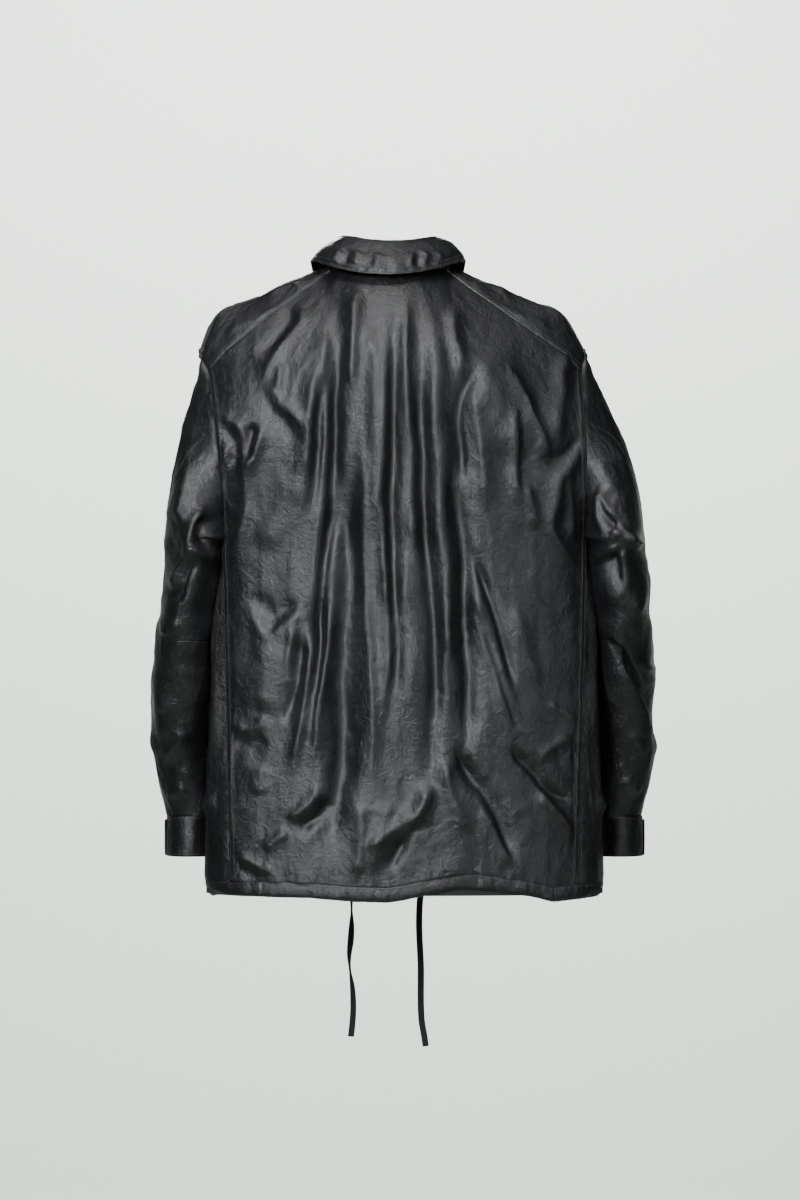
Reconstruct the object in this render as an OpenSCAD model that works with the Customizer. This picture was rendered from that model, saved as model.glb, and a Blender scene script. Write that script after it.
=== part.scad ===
/* [Body] */
// Length from the back neck seam down to the hem edge
body_length = 764; // [750:1:780]
// Half the width of the body below the armholes
chest_half = 234; // [230:1:238]
// Half the depth of the body at the chest
chest_depth = 105; // [100:1:110]
// Sideways drift of the body below the neck as it hangs
lean_x = 20; // [0:1:24]

/* [Neck and collar] */
// Half the width of the neck opening at the shoulder seams
neck_half = 74; // [70:1:78]
// Drop of the front neck below the shoulder seams
neck_drop = 74; // [66:1:80]
// Width of the turned-down collar at the side
collar_width = 45; // [40:1:48]

/* [Sleeves] */
// Depth of the armhole below the neck seam
pit_depth = 340; // [335:1:345]
// Height of the cuffs
cuff_height = 46; // [40:1:50]

/* [Fastenings] */
// Number of snaps that open with the front
snap_count = 6; // [4:1:7]
// Radius of a snap cap
snap_r = 7.5; // [6.5:0.5:8]
// Width of the drawstring tape
tape_width = 8; // [6:1:10]

/* [Hidden] */
$fn = 48;

leather = 1.4;         // thickness of one layer of leather
cloth = 0.8;           // thickness of the lining
seam_gap = 0.5;        // gap between panels at a seam
lining_in = 3;         // how far inside the leather the lining lies
squareness = 2.3;      // exponent of the body's rounded cross-section

hem_z = -body_length;
pit_z = -pit_depth;
band_h = 17;           // height of the drawstring hem
panel_low = hem_z + band_h + seam_gap;
depth_flare = 10;      // extra half depth at the hem
waist_z = -466;        // below this the body widens evenly
narrow_z = -190;       // below this the body narrows towards the armpits
hem_half = chest_half + 9;

ridge_top = 36.5;      // height where the two shoulder lines would meet
ridge_fall = 0.47;     // slope of the shoulder line
ridge_blend = 30;      // how wide the bend between the shoulder lines is
neck_dome = 12;        // extra height around the neck that keeps its outline round
ridge_reach = 170;     // drop over which the depth grows to full
ridge_round = 0.75;    // how blunt the shoulder ridge is
saddle_fall = 0.80;    // slope of the saddle seams
armhole = 226;         // half distance between the armhole seams
seam_top = 219;        // half width of the back at the armpit
seam_low = 210;        // half width of the back at the hem

// ---------- shared curves ----------
function ease(t) = let (c = min(max(t, 0), 1)) c * c * (3 - 2 * c);
function mix(a, b, t) = a + (b - a) * t;
function lean(z) = -lean_x * ease(-z / 300);
function at(x, y, z) = [x + lean(z), y, z];
function ridge_z(x) = ridge_top - ridge_fall * sqrt(x * x + ridge_blend * ridge_blend);

// Half width of the whole outline, sleeves included, above the armpit, and its inverse.
function head_half(z) = 292 - 92 * pow(max(0, z - pit_z) / 280, 1.6);
function head_top(x) = pit_z + 280 * pow(max(0, 292 - x) / 92, 1 / 1.6);

// Half width and half depth that the body's cross-section follows.
pit_half = chest_half - 5;
function body_half(z) =
    z > narrow_z ? head_half(z)
    : z > pit_z - 5 ? mix(head_half(narrow_z), pit_half, ease((narrow_z - z) / (narrow_z - pit_z + 5)))
    : z > waist_z ? mix(pit_half, chest_half, ease((pit_z - 5 - z) / (pit_z - 5 - waist_z)))
    : mix(chest_half, hem_half, (waist_z - z) / (waist_z - hem_z));
function body_depth(z) = chest_depth + depth_flare * ease((pit_z - z) / (pit_z - hem_z));
function dome(x, z) = neck_dome * pow(max(0, 1 - pow(x / neck_half, 2)), 0.6) * ease((z + 140) / 140);

// Half depth of the body at a place, a given distance inside its outer surface.
function rise(x, z, inset) =
    let (t = min(max((ridge_z(x) + dome(x, z) - inset - z) / ridge_reach, 0), 1))
        pow(1 - (1 - t) * (1 - t), ridge_round);
function depth_at(x, z, inset = 0) =
    (body_depth(z) - inset) * rise(x, z, inset)
    * pow(1 - pow(min(abs(x) / (body_half(z) - inset), 1), squareness), 1 / squareness);

function back_half(z) = z > pit_z ? mix(seam_top, armhole, (z - pit_z) / 215)
                                  : mix(seam_top, seam_low, (pit_z - z) / (pit_z - hem_z));
function neck_back_z(x) = -4 + 3 * pow(min(abs(x) / neck_half, 1), 2);
function neck_front_z(x) =
    ridge_z(neck_half) - neck_drop * pow(max(0, 1 - pow(min(abs(x) / neck_half, 1), 2)), 0.75);
function saddle_z(x) = ridge_z(neck_half) - 4 - saddle_fall * (abs(x) - neck_half);
function back_top_z(x) = abs(x) < neck_half ? min(neck_back_z(x), saddle_z(neck_half)) : saddle_z(x);
function front_top_z(x) = abs(x) < neck_half ? min(neck_front_z(x), saddle_z(neck_half)) : saddle_z(x);

// ---------- solids between two grids of points ----------
function joined(rows) = [for (r = rows) for (p = r) p];
function two(a, b, c, d) = [[a, b, c], [a, c, d]];
module skin(outer, inner, wrap = false) {
    rows = len(outer);
    cols = len(outer[0]);
    under = rows * cols;
    last = wrap ? cols - 1 : cols - 2;
    faces = concat(
        [for (i = [0:rows - 2], j = [0:last]) let (k = (j + 1) % cols, a = i * cols, b = a + cols)
            each two(a + j, a + k, b + k, b + j)],
        [for (i = [0:rows - 2], j = [0:last]) let (k = (j + 1) % cols, a = under + i * cols, b = a + cols)
            each two(b + j, b + k, a + k, a + j)],
        [for (j = [0:last]) let (k = (j + 1) % cols)
            each two(under + j, under + k, k, j)],
        [for (j = [0:last]) let (k = (j + 1) % cols, a = (rows - 1) * cols)
            each two(a + j, a + k, under + a + k, under + a + j)],
        wrap ? [] : [for (i = [0:rows - 2]) let (a = i * cols, b = a + cols)
            each two(a, b, under + b, under + a)],
        wrap ? [] : [for (i = [0:rows - 2]) let (a = i * cols + cols - 1, b = a + cols)
            each two(under + a, under + b, b, a)]
    );
    polyhedron(concat(joined(outer), joined(inner)), faces, convexity = 8);
}

// ---------- back ----------
function back_grid(inset, low, half_less, rows, cols) = [
    for (i = [0:rows]) [
        for (j = [0:cols])
            let (s = 2 * j / cols - 1, top = back_top_z(s * armhole) - seam_gap,
                 z = mix(top, low, i / rows), x = s * (back_half(z) - half_less))
                at(x, depth_at(x, z, inset), z)
    ]
];
module back_panel() color([0.07, 0.07, 0.08])
    skin(back_grid(0, panel_low, 0, 20, 24), back_grid(leather, panel_low, 0, 20, 24));
module back_lining() color([0.10, 0.10, 0.11])
    skin(back_grid(2 * lining_in, panel_low + 6, 14, 20, 24),
         back_grid(2 * lining_in + cloth, panel_low + 6, 14, 20, 24));

// ---------- sides: wrap round from the front seam to the back seam ----------
function seam_angle(z, inset) = asin(pow((back_half(z) + seam_gap) / (body_half(z) - inset), squareness / 2));
function round_point(angle, z, inset) =
    at((body_half(z) - inset) * pow(sin(angle), 2 / squareness),
       -sign(cos(angle)) * (body_depth(z) - inset) * pow(abs(cos(angle)), 2 / squareness), z);
function side_grid(inset, rows, cols) = [
    for (i = [0:rows]) let (z = mix(pit_z - 4, panel_low, i / rows), a = seam_angle(z, inset)) [
        for (j = [0:cols]) round_point(mix(a, 180 - a, j / cols), z, inset)
    ]
];
module side_panel() color([0.07, 0.07, 0.08])
    skin(side_grid(0, 12, 10), side_grid(leather, 12, 10));

// Mirrors a shape made for the left, keeping the sideways drift.
function swap(rows) = [for (r = rows) [for (p = r) at(-(p[0] - lean(p[2])), p[1], p[2])]];
module mirrored_side_panel() color([0.07, 0.07, 0.08])
    skin(swap(side_grid(0, 12, 10)), swap(side_grid(leather, 12, 10)));

// ---------- fronts ----------
crease_top_z = -100;           // where the opening crease leaves the neck
crease_top_x = 22;             // half width of the closed part at the neck
crease_low_x = 180;            // where the crease reaches the hem
crease_gap = 3;                // half the gap along the crease
lap = 12;                      // how far each front passes the middle
under_lap = 7.5;               // how far the right front lies under the left
function crease_x(z) = z > crease_top_z ? 0
    : mix(crease_top_x, crease_low_x, (crease_top_z - z) / (crease_top_z - hem_z));

// The closed part of a front, from the crease out to the armhole and the side seam.
function front_grid(hand, inset, low, rows, cols) = [
    for (i = [0:rows]) [
        for (j = [0:cols])
            let (s = j / cols, guess = front_top_z(mix(1, armhole, s)),
                 top = front_top_z(mix(hand - lean(guess), hand * armhole, s)) - 5 * seam_gap,
                 z = mix(top, low, i / rows),
                 gap = crease_gap * ease((crease_top_z + 14 - z) / 14),
                 inner = hand * (crease_x(z) + gap) - lean(z) + hand,
                 x = mix(inner, hand * (back_half(z) - seam_gap), s))
                at(x, -depth_at(x, z, inset), z)
    ]
];
module front_panel(hand) color([0.07, 0.07, 0.08])
    skin(front_grid(hand, 0, panel_low, 22, 14), front_grid(hand, leather, panel_low, 22, 14));

// The part of a front that swings open, from its free edge to the crease. The lap narrows towards the neck.
flap_top = crease_top_z - 8;
function free_edge(z) = lap * ease((flap_top - z) / 200 + 0.5);
function under_in(hand, x) = hand > 0 ? 0 : under_lap * ease((x + lap + 16) / 14);
function flap_row(hand, z, edge, outer_cut, cols, inset) = [
    for (j = [0:cols])
        let (x = mix(-hand * edge, hand * (crease_x(z) - outer_cut), j / cols), b = x - lean(z))
            at(b, -depth_at(b, z, inset + under_in(hand, x)), z)
];
function flap_grid(hand, inset, top, low, cut, rows, cols) = [
    for (i = [0:rows]) let (z = mix(top, low, i / rows)) flap_row(hand, z, free_edge(z), cut, cols, inset)
];
module front_flap(hand) color([0.07, 0.07, 0.08])
    skin(flap_grid(hand, 0, flap_top, panel_low, crease_gap, 20, 10),
         flap_grid(hand, leather, flap_top, panel_low, crease_gap, 20, 10));

// A strip behind the free edge that backs the snaps.
function facing_row(hand, z, inset) = [
    for (j = [0:4])
        let (x = mix(-hand * (free_edge(z) - 1), hand * 16, j / 4), b = x - lean(z))
            at(b, -depth_at(b, z, inset + under_in(hand, x)), z)
];
module placket_facing(hand) color([0.09, 0.09, 0.10])
    skin([for (i = [0:12]) facing_row(hand, mix(flap_top - 10, panel_low, i / 12), leather + 0.4)],
         [for (i = [0:12]) facing_row(hand, mix(flap_top - 10, panel_low, i / 12), 2 * leather + 0.2)]);

function lining_edge(hand) = hand > 0 ? 30 : 42;
function front_lining_row(hand, z, inset) = [
    for (j = [0:6])
        let (x = hand * mix(lining_edge(hand), crease_x(z) - crease_gap - 3, j / 6), b = x - lean(z))
            at(b, -depth_at(b, z, inset), z)
];
lining_top = -290;
module front_lining(hand) {
    function rows(inset) =
        [for (i = [0:12]) front_lining_row(hand, mix(lining_top, panel_low + 6, i / 12), inset)];
    color([0.10, 0.10, 0.11]) skin(rows(2 * lining_in), rows(2 * lining_in + cloth));
}

// ---------- hem: a folded tube that holds the drawstring ----------
hem_outside = [[0, band_h], [0, 1.5], [-1.5, 0], [-4.5, 0], [-6, 1.5], [-6, band_h]];
hem_inside = [[-1.4, band_h], [-1.4, 2.4], [-2.2, 1.4], [-3.8, 1.4], [-4.6, 2.4], [-4.6, band_h]];
function hem_point(x, side, p, extra) =
    at(x, side * depth_at(x, hem_z + p[1], extra - p[0]), hem_z + p[1]);
module tube_along(stations) {
    n = len(stations[0]);
    m = len(stations);
    polyhedron(joined(stations), concat(
        [[for (j = [0:n - 1]) j]],
        [for (i = [0:m - 2], j = [0:n - 1]) let (k = (j + 1) % n)
            each two(i * n + k, i * n + j, (i + 1) * n + j, (i + 1) * n + k)],
        [[for (j = [n - 1:-1:0]) (m - 1) * n + j]]), convexity = 10);
}
function hem_ring_point(angle, p) = let (s = angle > 180 ? -1 : 1, a = angle > 180 ? 360 - angle : angle,
    q = round_point(a, hem_z + p[1], -p[0])) at(s * (q[0] - lean(hem_z + p[1])), q[1], hem_z + p[1]);
function hem_angle(x) = asin(pow(abs(x) / hem_half, squareness / 2));
hem_left_angle = hem_angle(crease_low_x + 5 - lean(hem_z));
hem_right_angle = hem_angle(crease_low_x + 5 + lean(hem_z));
module back_hem_band() {
    function rows(profile) = [for (i = [0:44]) let (a = mix(hem_left_angle, 360 - hem_right_angle, i / 44))
        [for (p = profile) hem_ring_point(a, p)]];
    color([0.07, 0.07, 0.08]) skin(rows(hem_outside), rows(hem_inside));
}
module hem_drawstring() color([0.03, 0.03, 0.03])
    tube_along([for (i = [0:44]) let (a = mix(hem_left_angle + 0.5, 359.5 - hem_right_angle, i / 44))
        [for (p = [[-2.3, 4], [-3.7, 4], [-3.7, 4 + tape_width], [-2.3, 4 + tape_width]])
            hem_ring_point(a, p)]]);
module front_hem_band(hand) {
    function rows(profile) = [for (i = [0:12])
        let (x = mix(-hand * lap, hand * (crease_low_x - 3), i / 12), b = x - lean(hem_z))
            [for (p = profile) hem_point(b, -1, p, under_in(hand, x))]];
    color([0.07, 0.07, 0.08]) skin(rows(hem_outside), rows(hem_inside));
}

// ---------- shoulder saddles, laid over the shoulders from the neck to the sleeve head ----------
function saddle_arc(x, inset, cols) =
    let (low = saddle_z(x) + seam_gap, high = min(ridge_z(x), head_top(abs(x))))
        [for (j = [0:cols]) let (a = 180 * j / cols, z = mix(low, high, sin(a)), side = a < 90 ? 1 : -1)
            abs(a - 90) < 0.01 ? at(x, 0, high - inset)
            : at(x, side * (depth_at(x, z) - 0.8 * inset * sqrt(abs(cos(a)))), z - inset * sin(a))];
module saddle(hand) {
    function rows(inset) = [for (i = [0:14]) saddle_arc(hand * mix(neck_half + 1, armhole, i / 14), inset, 12)];
    color([0.08, 0.08, 0.09]) skin(rows(0), rows(leather));
}

// ---------- sleeves ----------
arm_hinge_x = 262;             // from the middle of the body
arm_hinge_z = pit_z - 45;
arm_swing = 72;                // how far a sleeve lifts, in degrees
elbow_z = -520;
elbow_y = -62;
elbow_swing = 62;              // how far the lower sleeve bends, in degrees
cut_gap = 0.8;
sleeve_low = -672;             // where the cuff begins
wall = leather + 0.6;          // sleeve leather and its lining together

// Outer and inner limits across the body, and the middle and half width front to back.
function sleeve_out(z) = z > pit_z ? head_half(z)
    : z > -560 ? mix(292, 308, ease((pit_z - z) / 190)) : mix(308, 278, ease((-560 - z) / 190));
function sleeve_in(z) = z > pit_z - 2 ? mix(242, armhole, ease((z - pit_z + 2) / 150))
    : mix(242, 232, ease((-560 - z) / 150));
function sleeve_y(z) = mix(0, -84, ease((-330 - z) / 400));
function armhole_y(z) = z < pit_z ? 0 : depth_at(armhole, z);
function sleeve_deep(z) = z > pit_z ? mix(84, armhole_y(-127), pow(ease((z - pit_z) / 213), 0.8))
    : mix(84, 48, ease((pit_z - 20 - z) / 340));
function sleeve_point(z, angle, inset) =
    let (mid = (sleeve_out(z) + sleeve_in(z)) / 2, half = (sleeve_out(z) - sleeve_in(z)) / 2)
        [mid + (half - inset) * cos(angle), sleeve_y(z) + (sleeve_deep(z) - inset) * sin(angle), z];

// The cuts that leave room for a sleeve to lift at the armpit and to bend at the elbow.
function lift_cut(x, way) = arm_hinge_z + way * (cut_gap + max(0, x - arm_hinge_x) * tan(arm_swing / 2));
function bend_cut(y, way) = elbow_z + way * (cut_gap + max(0, elbow_y - y) * tan(elbow_swing / 2));
function tube_rows(top, low, inset, rows, cols) = [
    for (i = [0:rows]) [
        for (j = [0:cols - 1])
            let (angle = 360 * j / cols, a = sleeve_point(top == 0 ? arm_hinge_z - 20 : elbow_z - 30, angle, 0),
                 b = sleeve_point(low == 0 ? elbow_z + 30 : low, angle, 0),
                 z0 = top == 0 ? lift_cut(a[0], -1) : bend_cut(a[1], -1),
                 z1 = low == 0 ? bend_cut(b[1], 1) : low,
                 q = sleeve_point(mix(z0, z1, i / rows), angle, inset))
                at(q[0], q[1], q[2])
    ]
];
module upper_sleeve(hand) color([0.07, 0.07, 0.08])
    skin(hand > 0 ? tube_rows(0, 0, 0, 8, 28) : swap(tube_rows(0, 0, 0, 8, 28)),
         hand > 0 ? tube_rows(0, 0, wall, 8, 28) : swap(tube_rows(0, 0, wall, 8, 28)), wrap = true);
module lower_sleeve(hand) color([0.07, 0.07, 0.08])
    skin(hand > 0 ? tube_rows(1, sleeve_low, 0, 10, 28) : swap(tube_rows(1, sleeve_low, 0, 10, 28)),
         hand > 0 ? tube_rows(1, sleeve_low, wall, 10, 28) : swap(tube_rows(1, sleeve_low, wall, 10, 28)),
         wrap = true);

// The head of a sleeve: open towards the body down to the armpit, then closed down to the lifting cut.
head_high = -126.5;
function head_reach(z) = mix(90, 179.5, ease((-190 - z) / (-190 - pit_z)));
function head_point(s, z, inset) =
    let (p = sleeve_point(z, s * head_reach(z), inset), e = sleeve_point(z, sign(s) * head_reach(z), inset),
         pull = z > pit_z ? pow(abs(s), 3) : 0,
         goal = [max(armhole, back_half(z)) + 1, sign(s) * max(armhole_y(z) - inset, 0.4 + 0.1 * inset), z])
        p + pull * (goal - e);
function head_grid(inset, rows, cols) = [
    for (i = [0:rows]) [
        for (j = [0:cols])
            let (s = 1 - 2 * j / cols, crown = 1 - abs(s), top = head_high + 12 * pow(crown, 0.7),
                 low = lift_cut(head_point(s, arm_hinge_z + 12, 0)[0], 1),
                 q = head_point(s, mix(top, low, i / rows), inset))
                at(q[0], q[1], q[2])
    ]
];
module sleeve_head(hand) color([0.08, 0.08, 0.09])
    skin(hand > 0 ? head_grid(0, 14, 20) : swap(head_grid(0, 14, 20)),
         hand > 0 ? head_grid(wall, 14, 20) : swap(head_grid(wall, 14, 20)));

// ---------- cuffs: a band with an overlapping tab held by a snap ----------
cuff_low = sleeve_low - cuff_height;
tab_start = 8;                 // angle on the cuff where the tab is sewn
tab_end = -62;                 // angle of the tab's free end
tab_lift = 1.2;                // gap between the tab and the band
function cuff_point(z, angle, out) =
    let (q = sleeve_point(sleeve_low, angle, -out)) at(q[0], q[1], z);
module cuff(hand) {
    function ring(out) = [for (i = [0:2]) [for (j = [0:30])
        cuff_point(mix(sleeve_low - 0.6, cuff_low, i / 2), mix(tab_start + 1, 352, j / 30), out)]];
    color([0.07, 0.07, 0.08])
        skin(hand > 0 ? ring(1.4) : swap(ring(1.4)), hand > 0 ? ring(-0.8) : swap(ring(-0.8)));
}
module cuff_tab(hand) {
    function leaf(out) = [for (i = [0:2]) [for (j = [0:8])
        cuff_point(mix(sleeve_low - 1.4, cuff_low + 0.4, i / 2), mix(tab_start, tab_end, j / 8), out)]];
    color([0.07, 0.07, 0.08]) skin(hand > 0 ? leaf(1.4 + tab_lift + 2.2) : swap(leaf(1.4 + tab_lift + 2.2)),
                                   hand > 0 ? leaf(1.4 + tab_lift) : swap(leaf(1.4 + tab_lift)));
}
snap_angle = -42;              // angle on the cuff of its snap
// Places a snap made along +X at the cuff's snap, facing out.
module at_cuff_snap(hand, out) {
    z = (sleeve_low + cuff_low) / 2;
    p = cuff_point(z, snap_angle, out);
    q = cuff_point(z, snap_angle + 2, out);
    way = atan2(q[1] - p[1], q[0] - p[0]) - 90;
    translate([hand > 0 ? p[0] : 2 * lean(z) - p[0], p[1], z])
        rotate([0, 0, hand > 0 ? way : 180 - way]) rotate([0, 90, 0]) children();
}
module snap_cap(r) {
    cylinder(r = r, h = 0.7);
    translate([0, 0, 0.7]) rotate_extrude()
        polygon([[0, 0], [r, 0], [r - 0.7, 0.8], [r - 2.4, 1.3], [0, 1.4]]);
}
module snap_stud() {
    cylinder(r = 4.5, h = 0.5);
    cylinder(r = 1.9, h = 1.0);
}
module cuff_snap_cap(hand) color([0.12, 0.12, 0.13]) at_cuff_snap(hand, 5.4) snap_cap(6);
module cuff_stud(hand) color([0.55, 0.55, 0.56]) at_cuff_snap(hand, 1.45) cylinder(r = 4, h = 0.6);

// ---------- front snaps ----------
snap_top_z = -195;
snap_low_z = -725;
function snap_z(i) = mix(snap_top_z, snap_low_z, i / (snap_count - 1));
function front_y(x, z, inset) = -depth_at(x - lean(z), z, inset);
// Places a snap part made along +Z on the front at height z, facing forward, its base inset from the face.
module on_front(z, inset) translate([0, front_y(0, z, inset), z]) rotate([90, 0, 0]) children();
module snap_caps() color([0.12, 0.12, 0.13])
    for (i = [0:snap_count - 1]) on_front(snap_z(i), -0.3) snap_cap(snap_r);
module snap_sockets() color([0.55, 0.55, 0.56])
    for (i = [0:snap_count - 1]) on_front(snap_z(i), 5.1) difference() {
        cylinder(r = 5.5, h = 1.9);
        translate([0, 0, -1]) cylinder(r = 2.7, h = 4);
    }
module snap_studs() color([0.55, 0.55, 0.56])
    for (i = [0:snap_count - 1]) on_front(snap_z(i), 6.8) {
        cylinder(r = 5, h = 0.5);
        cylinder(r = 1.9, h = 2.4);
    }
module snap_backs() color([0.55, 0.55, 0.56])
    for (i = [0:snap_count - 1]) on_front(snap_z(i), 12.3) cylinder(r = 6, h = 0.9);
neck_snap_z = -88;
module neck_snap_cap() color([0.12, 0.12, 0.13])
    on_front(neck_snap_z, -2.2) snap_cap(snap_r);
module neck_snap_stud() color([0.55, 0.55, 0.56])
    on_front(neck_snap_z, 5.4) cylinder(r = 5.5, h = 1.5);

// ---------- pockets: slanted welts on the fronts with a flat bag behind ----------
pocket_top = [70, -470];       // x and z of the upper end of the mouth
pocket_low = [108, -606];      // x and z of the lower end of the mouth
welt_w = 18;
function welt_row(hand, t, inset) =
    let (m = mix(pocket_top, pocket_low, t)) [for (j = [0:3])
        let (x = hand * (m[0] + mix(-welt_w / 2, welt_w / 2, j / 3)), z = m[1], b = x - lean(z))
            at(b, -depth_at(b, z, inset), z)];
module pocket_welt(hand) color([0.07, 0.07, 0.08])
    skin([for (i = [0:8]) welt_row(hand, i / 8, -1.9)], [for (i = [0:8]) welt_row(hand, i / 8, -0.4)]);
function bag_row(hand, z, inset) = [
    for (j = [0:4]) let (x = hand * mix(lining_edge(hand), crease_x(z) - 12, j / 4), b = x - lean(z))
        at(b, -depth_at(b, z, inset), z)
];
module pocket_bag(hand) color([0.10, 0.10, 0.11])
    skin([for (i = [0:6]) bag_row(hand, mix(-480, -670, i / 6), leather + 0.8)],
         [for (i = [0:6]) bag_row(hand, mix(-480, -670, i / 6), leather + 2.6)]);

// ---------- collar ----------
// Angle 0 is the middle of the back, 90 the shoulder, and collar_end the front end.
collar_end = 165;
function front_share(a) = max(0, a - 90) / (collar_end - 90);
function neck_point(a) =
    let (x = neck_half * sin(a), z = a < 90 ? neck_back_z(x) : neck_front_z(x))
        [x, (a < 90 ? 1 : -1) * depth_at(x, z), z];
function fold_point(a) =
    let (q = front_share(a))
        a <= 90 ? [(neck_half - 17) * sin(a), 41 * cos(a) - 3 * sin(a), 24 + 7 * pow(sin(a), 2)]
                : [mix(neck_half - 17, 12, pow(q, 1.6)), -3 - 89 * sin(90 * q), mix(31, -62, pow(q, 1.4))];
function edge_point(a) =
    let (q = front_share(a), w = collar_width / 45)
        a <= 90 ? [neck_half * sin(a) + 15 * w * sin(a),
                   depth_at(neck_half * sin(a), neck_back_z(neck_half * sin(a))) + 19 * w * cos(a),
                   -14 * w + 19 * pow(sin(a), 2)]
                : [mix(neck_half + 15 * w, 52, pow(q, 1.5)), -107 * sin(90 * q), mix(5, -124, pow(q, 1.3))];
function signed_angle(t) = mix(-collar_end, collar_end, t);
function at_angle(t, f) = let (a = signed_angle(t), p = f(abs(a))) [sign(a) * p[0], p[1], p[2]];
function pushed(p, t, out, up) =
    let (a = signed_angle(t)) [p[0] + out * sin(a), p[1] + out * cos(a), p[2] + up];
collar_cols = 36;
module collar_stand() {
    function row(v, out) = [for (j = [0:collar_cols]) let (t = j / collar_cols,
        n = at_angle(t, function (a) neck_point(a)), f = at_angle(t, function (a) fold_point(a)))
            pushed(mix(n, f, mix(0.10, 0.93, v)), t, out - 1, 1.5)];
    color([0.07, 0.07, 0.08]) skin([for (i = [0:3]) row(i / 3, 0)], [for (i = [0:3]) row(i / 3, -2)]);
}
module collar_leaf(high, low) {
    function row(v, lift) = [for (j = [0:collar_cols]) let (t = j / collar_cols,
        f = at_angle(t, function (a) fold_point(a)), e = at_angle(t, function (a) edge_point(a)),
        bow = 5 * sin(180 * v))
            pushed(mix(f, e, v), t, lift * 0.7 + bow * 0.7, lift * 0.7 + bow * 0.7 + 1.5)];
    skin([for (i = [0:5]) row(i / 5, high)], [for (i = [0:5]) row(i / 5, low)]);
}
module upper_collar() color([0.07, 0.07, 0.08]) collar_leaf(3.4, 2.0);
module under_collar() color([0.08, 0.08, 0.09]) collar_leaf(1.6, 0.4);

// A strap sewn inside the back neck by both ends, to hang the jacket from a hook.
loop_half = 28;
function loop_section(t) =
    let (x = mix(-loop_half, loop_half, t), y = depth_at(x, -10) - 7.2 - 3.8 * sin(180 * t),
         z = -14 - 13 * sin(180 * t))
        [[x, y, z], [x, y - 1.2, z], [x, y - 1.2, z - 7], [x, y, z - 7]];
module hang_loop() color([0.07, 0.07, 0.08]) tube_along([for (i = [0:14]) loop_section(i / 14)]);

// ---------- drawstring ends, hanging from an eyelet in the front hem ----------
eyelet_x = 42;
eyelet_z = hem_z + 9;
module eyelet(hand) {
    b = hand * eyelet_x - lean(eyelet_z);
    color([0.20, 0.20, 0.21]) translate([hand * eyelet_x, -depth_at(b, eyelet_z) - 0.6, eyelet_z])
        rotate([90, 0, 0]) rotate_extrude() translate([5, 0])
            polygon([[-1, 0], [2.2, 0], [1.8, 0.7], [0.4, 0.9], [-1, 0.6]]);
}
// Each route point is x, the distance in front of the eyelet, z, and the tape's twist in degrees.
left_route = [[42, 0, -752, 0], [43, 1, -760, 8], [45, 4, -772, 60], [45, 5, -788, 82], [45, 5, -803, 40],
              [46, 5, -822, 5], [48, 5, -842, 50], [47, 5, -860, 80], [44, 5, -882, 38], [43, 5, -905, 22],
              [44, 5, -925, 18], [46, 5, -942, 15]];
right_route = [[-42, 0, -752, 0], [-41, 1, -760, 0], [-39, 4, -774, 4], [-38, 5, -792, 8], [-38, 5, -812, 12],
               [-39, 5, -834, 14], [-40, 5, -856, 10], [-40, 5, -878, 4], [-40, 5, -900, 0], [-41, 5, -922, 6],
               [-44, 5, -940, 10], [-46, 5, -954, 10]];
tape_edge = [[-1, -0.3], [-0.85, -0.6], [0.85, -0.6], [1, -0.3],
             [1, 0.3], [0.85, 0.6], [-0.85, 0.6], [-1, 0.3]];
module tape(route, hand) {
    wall_y = -depth_at(hand * eyelet_x - lean(eyelet_z), eyelet_z) - 2.5;
    w = tape_width / 2;
    color([0.03, 0.03, 0.03]) tube_along([for (p = route)
        [for (q = tape_edge) let (u = q[0] * w, v = q[1])
            [p[0] + u * cos(p[3]) - v * sin(p[3]), wall_y - p[1] + u * sin(p[3]) + v * cos(p[3]), p[2]]]]);
}

back_panel();
side_panel();  // left_side_panel
mirrored_side_panel();  // right_side_panel
front_panel(1);  // left_front_panel
front_panel(-1);  // right_front_panel
saddle(1);  // left_shoulder_saddle
saddle(-1);  // right_shoulder_saddle
sleeve_head(1);  // left_sleeve_head
sleeve_head(-1);  // right_sleeve_head
collar_stand();
under_collar();
upper_collar();
hang_loop();
back_hem_band();
back_lining();
hem_drawstring();
neck_snap_cap();
neck_snap_stud();
front_flap(1);  // left_front_flap
placket_facing(1);  // left_placket_facing
front_lining(1);  // left_front_lining
front_hem_band(1);  // left_hem_band
pocket_welt(1);  // left_pocket_welt
pocket_bag(1);  // left_pocket_bag
snap_caps();  // left_snap_caps
snap_sockets();  // left_snap_sockets
eyelet(1);  // left_eyelet
front_flap(-1);  // right_front_flap
placket_facing(-1);  // right_placket_facing
front_lining(-1);  // right_front_lining
front_hem_band(-1);  // right_hem_band
pocket_welt(-1);  // right_pocket_welt
pocket_bag(-1);  // right_pocket_bag
snap_studs();  // right_snap_studs
snap_backs();  // right_snap_backs
eyelet(-1);  // right_eyelet
upper_sleeve(1);  // left_upper_sleeve
upper_sleeve(-1);  // right_upper_sleeve
lower_sleeve(1);  // left_lower_sleeve
lower_sleeve(-1);  // right_lower_sleeve
cuff(1);  // left_cuff
cuff(-1);  // right_cuff
cuff_stud(1);  // left_cuff_stud
cuff_stud(-1);  // right_cuff_stud
cuff_tab(1);  // left_cuff_tab
cuff_tab(-1);  // right_cuff_tab
cuff_snap_cap(1);  // left_cuff_snap_cap
cuff_snap_cap(-1);  // right_cuff_snap_cap
tape(left_route, 1);  // left_drawstring
tape(right_route, -1);  // right_drawstring
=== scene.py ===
"""A black leather jacket as it hangs: its leather, folds, seams, stitches and hardware, on its CAD frame."""

import copy
import math

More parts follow.
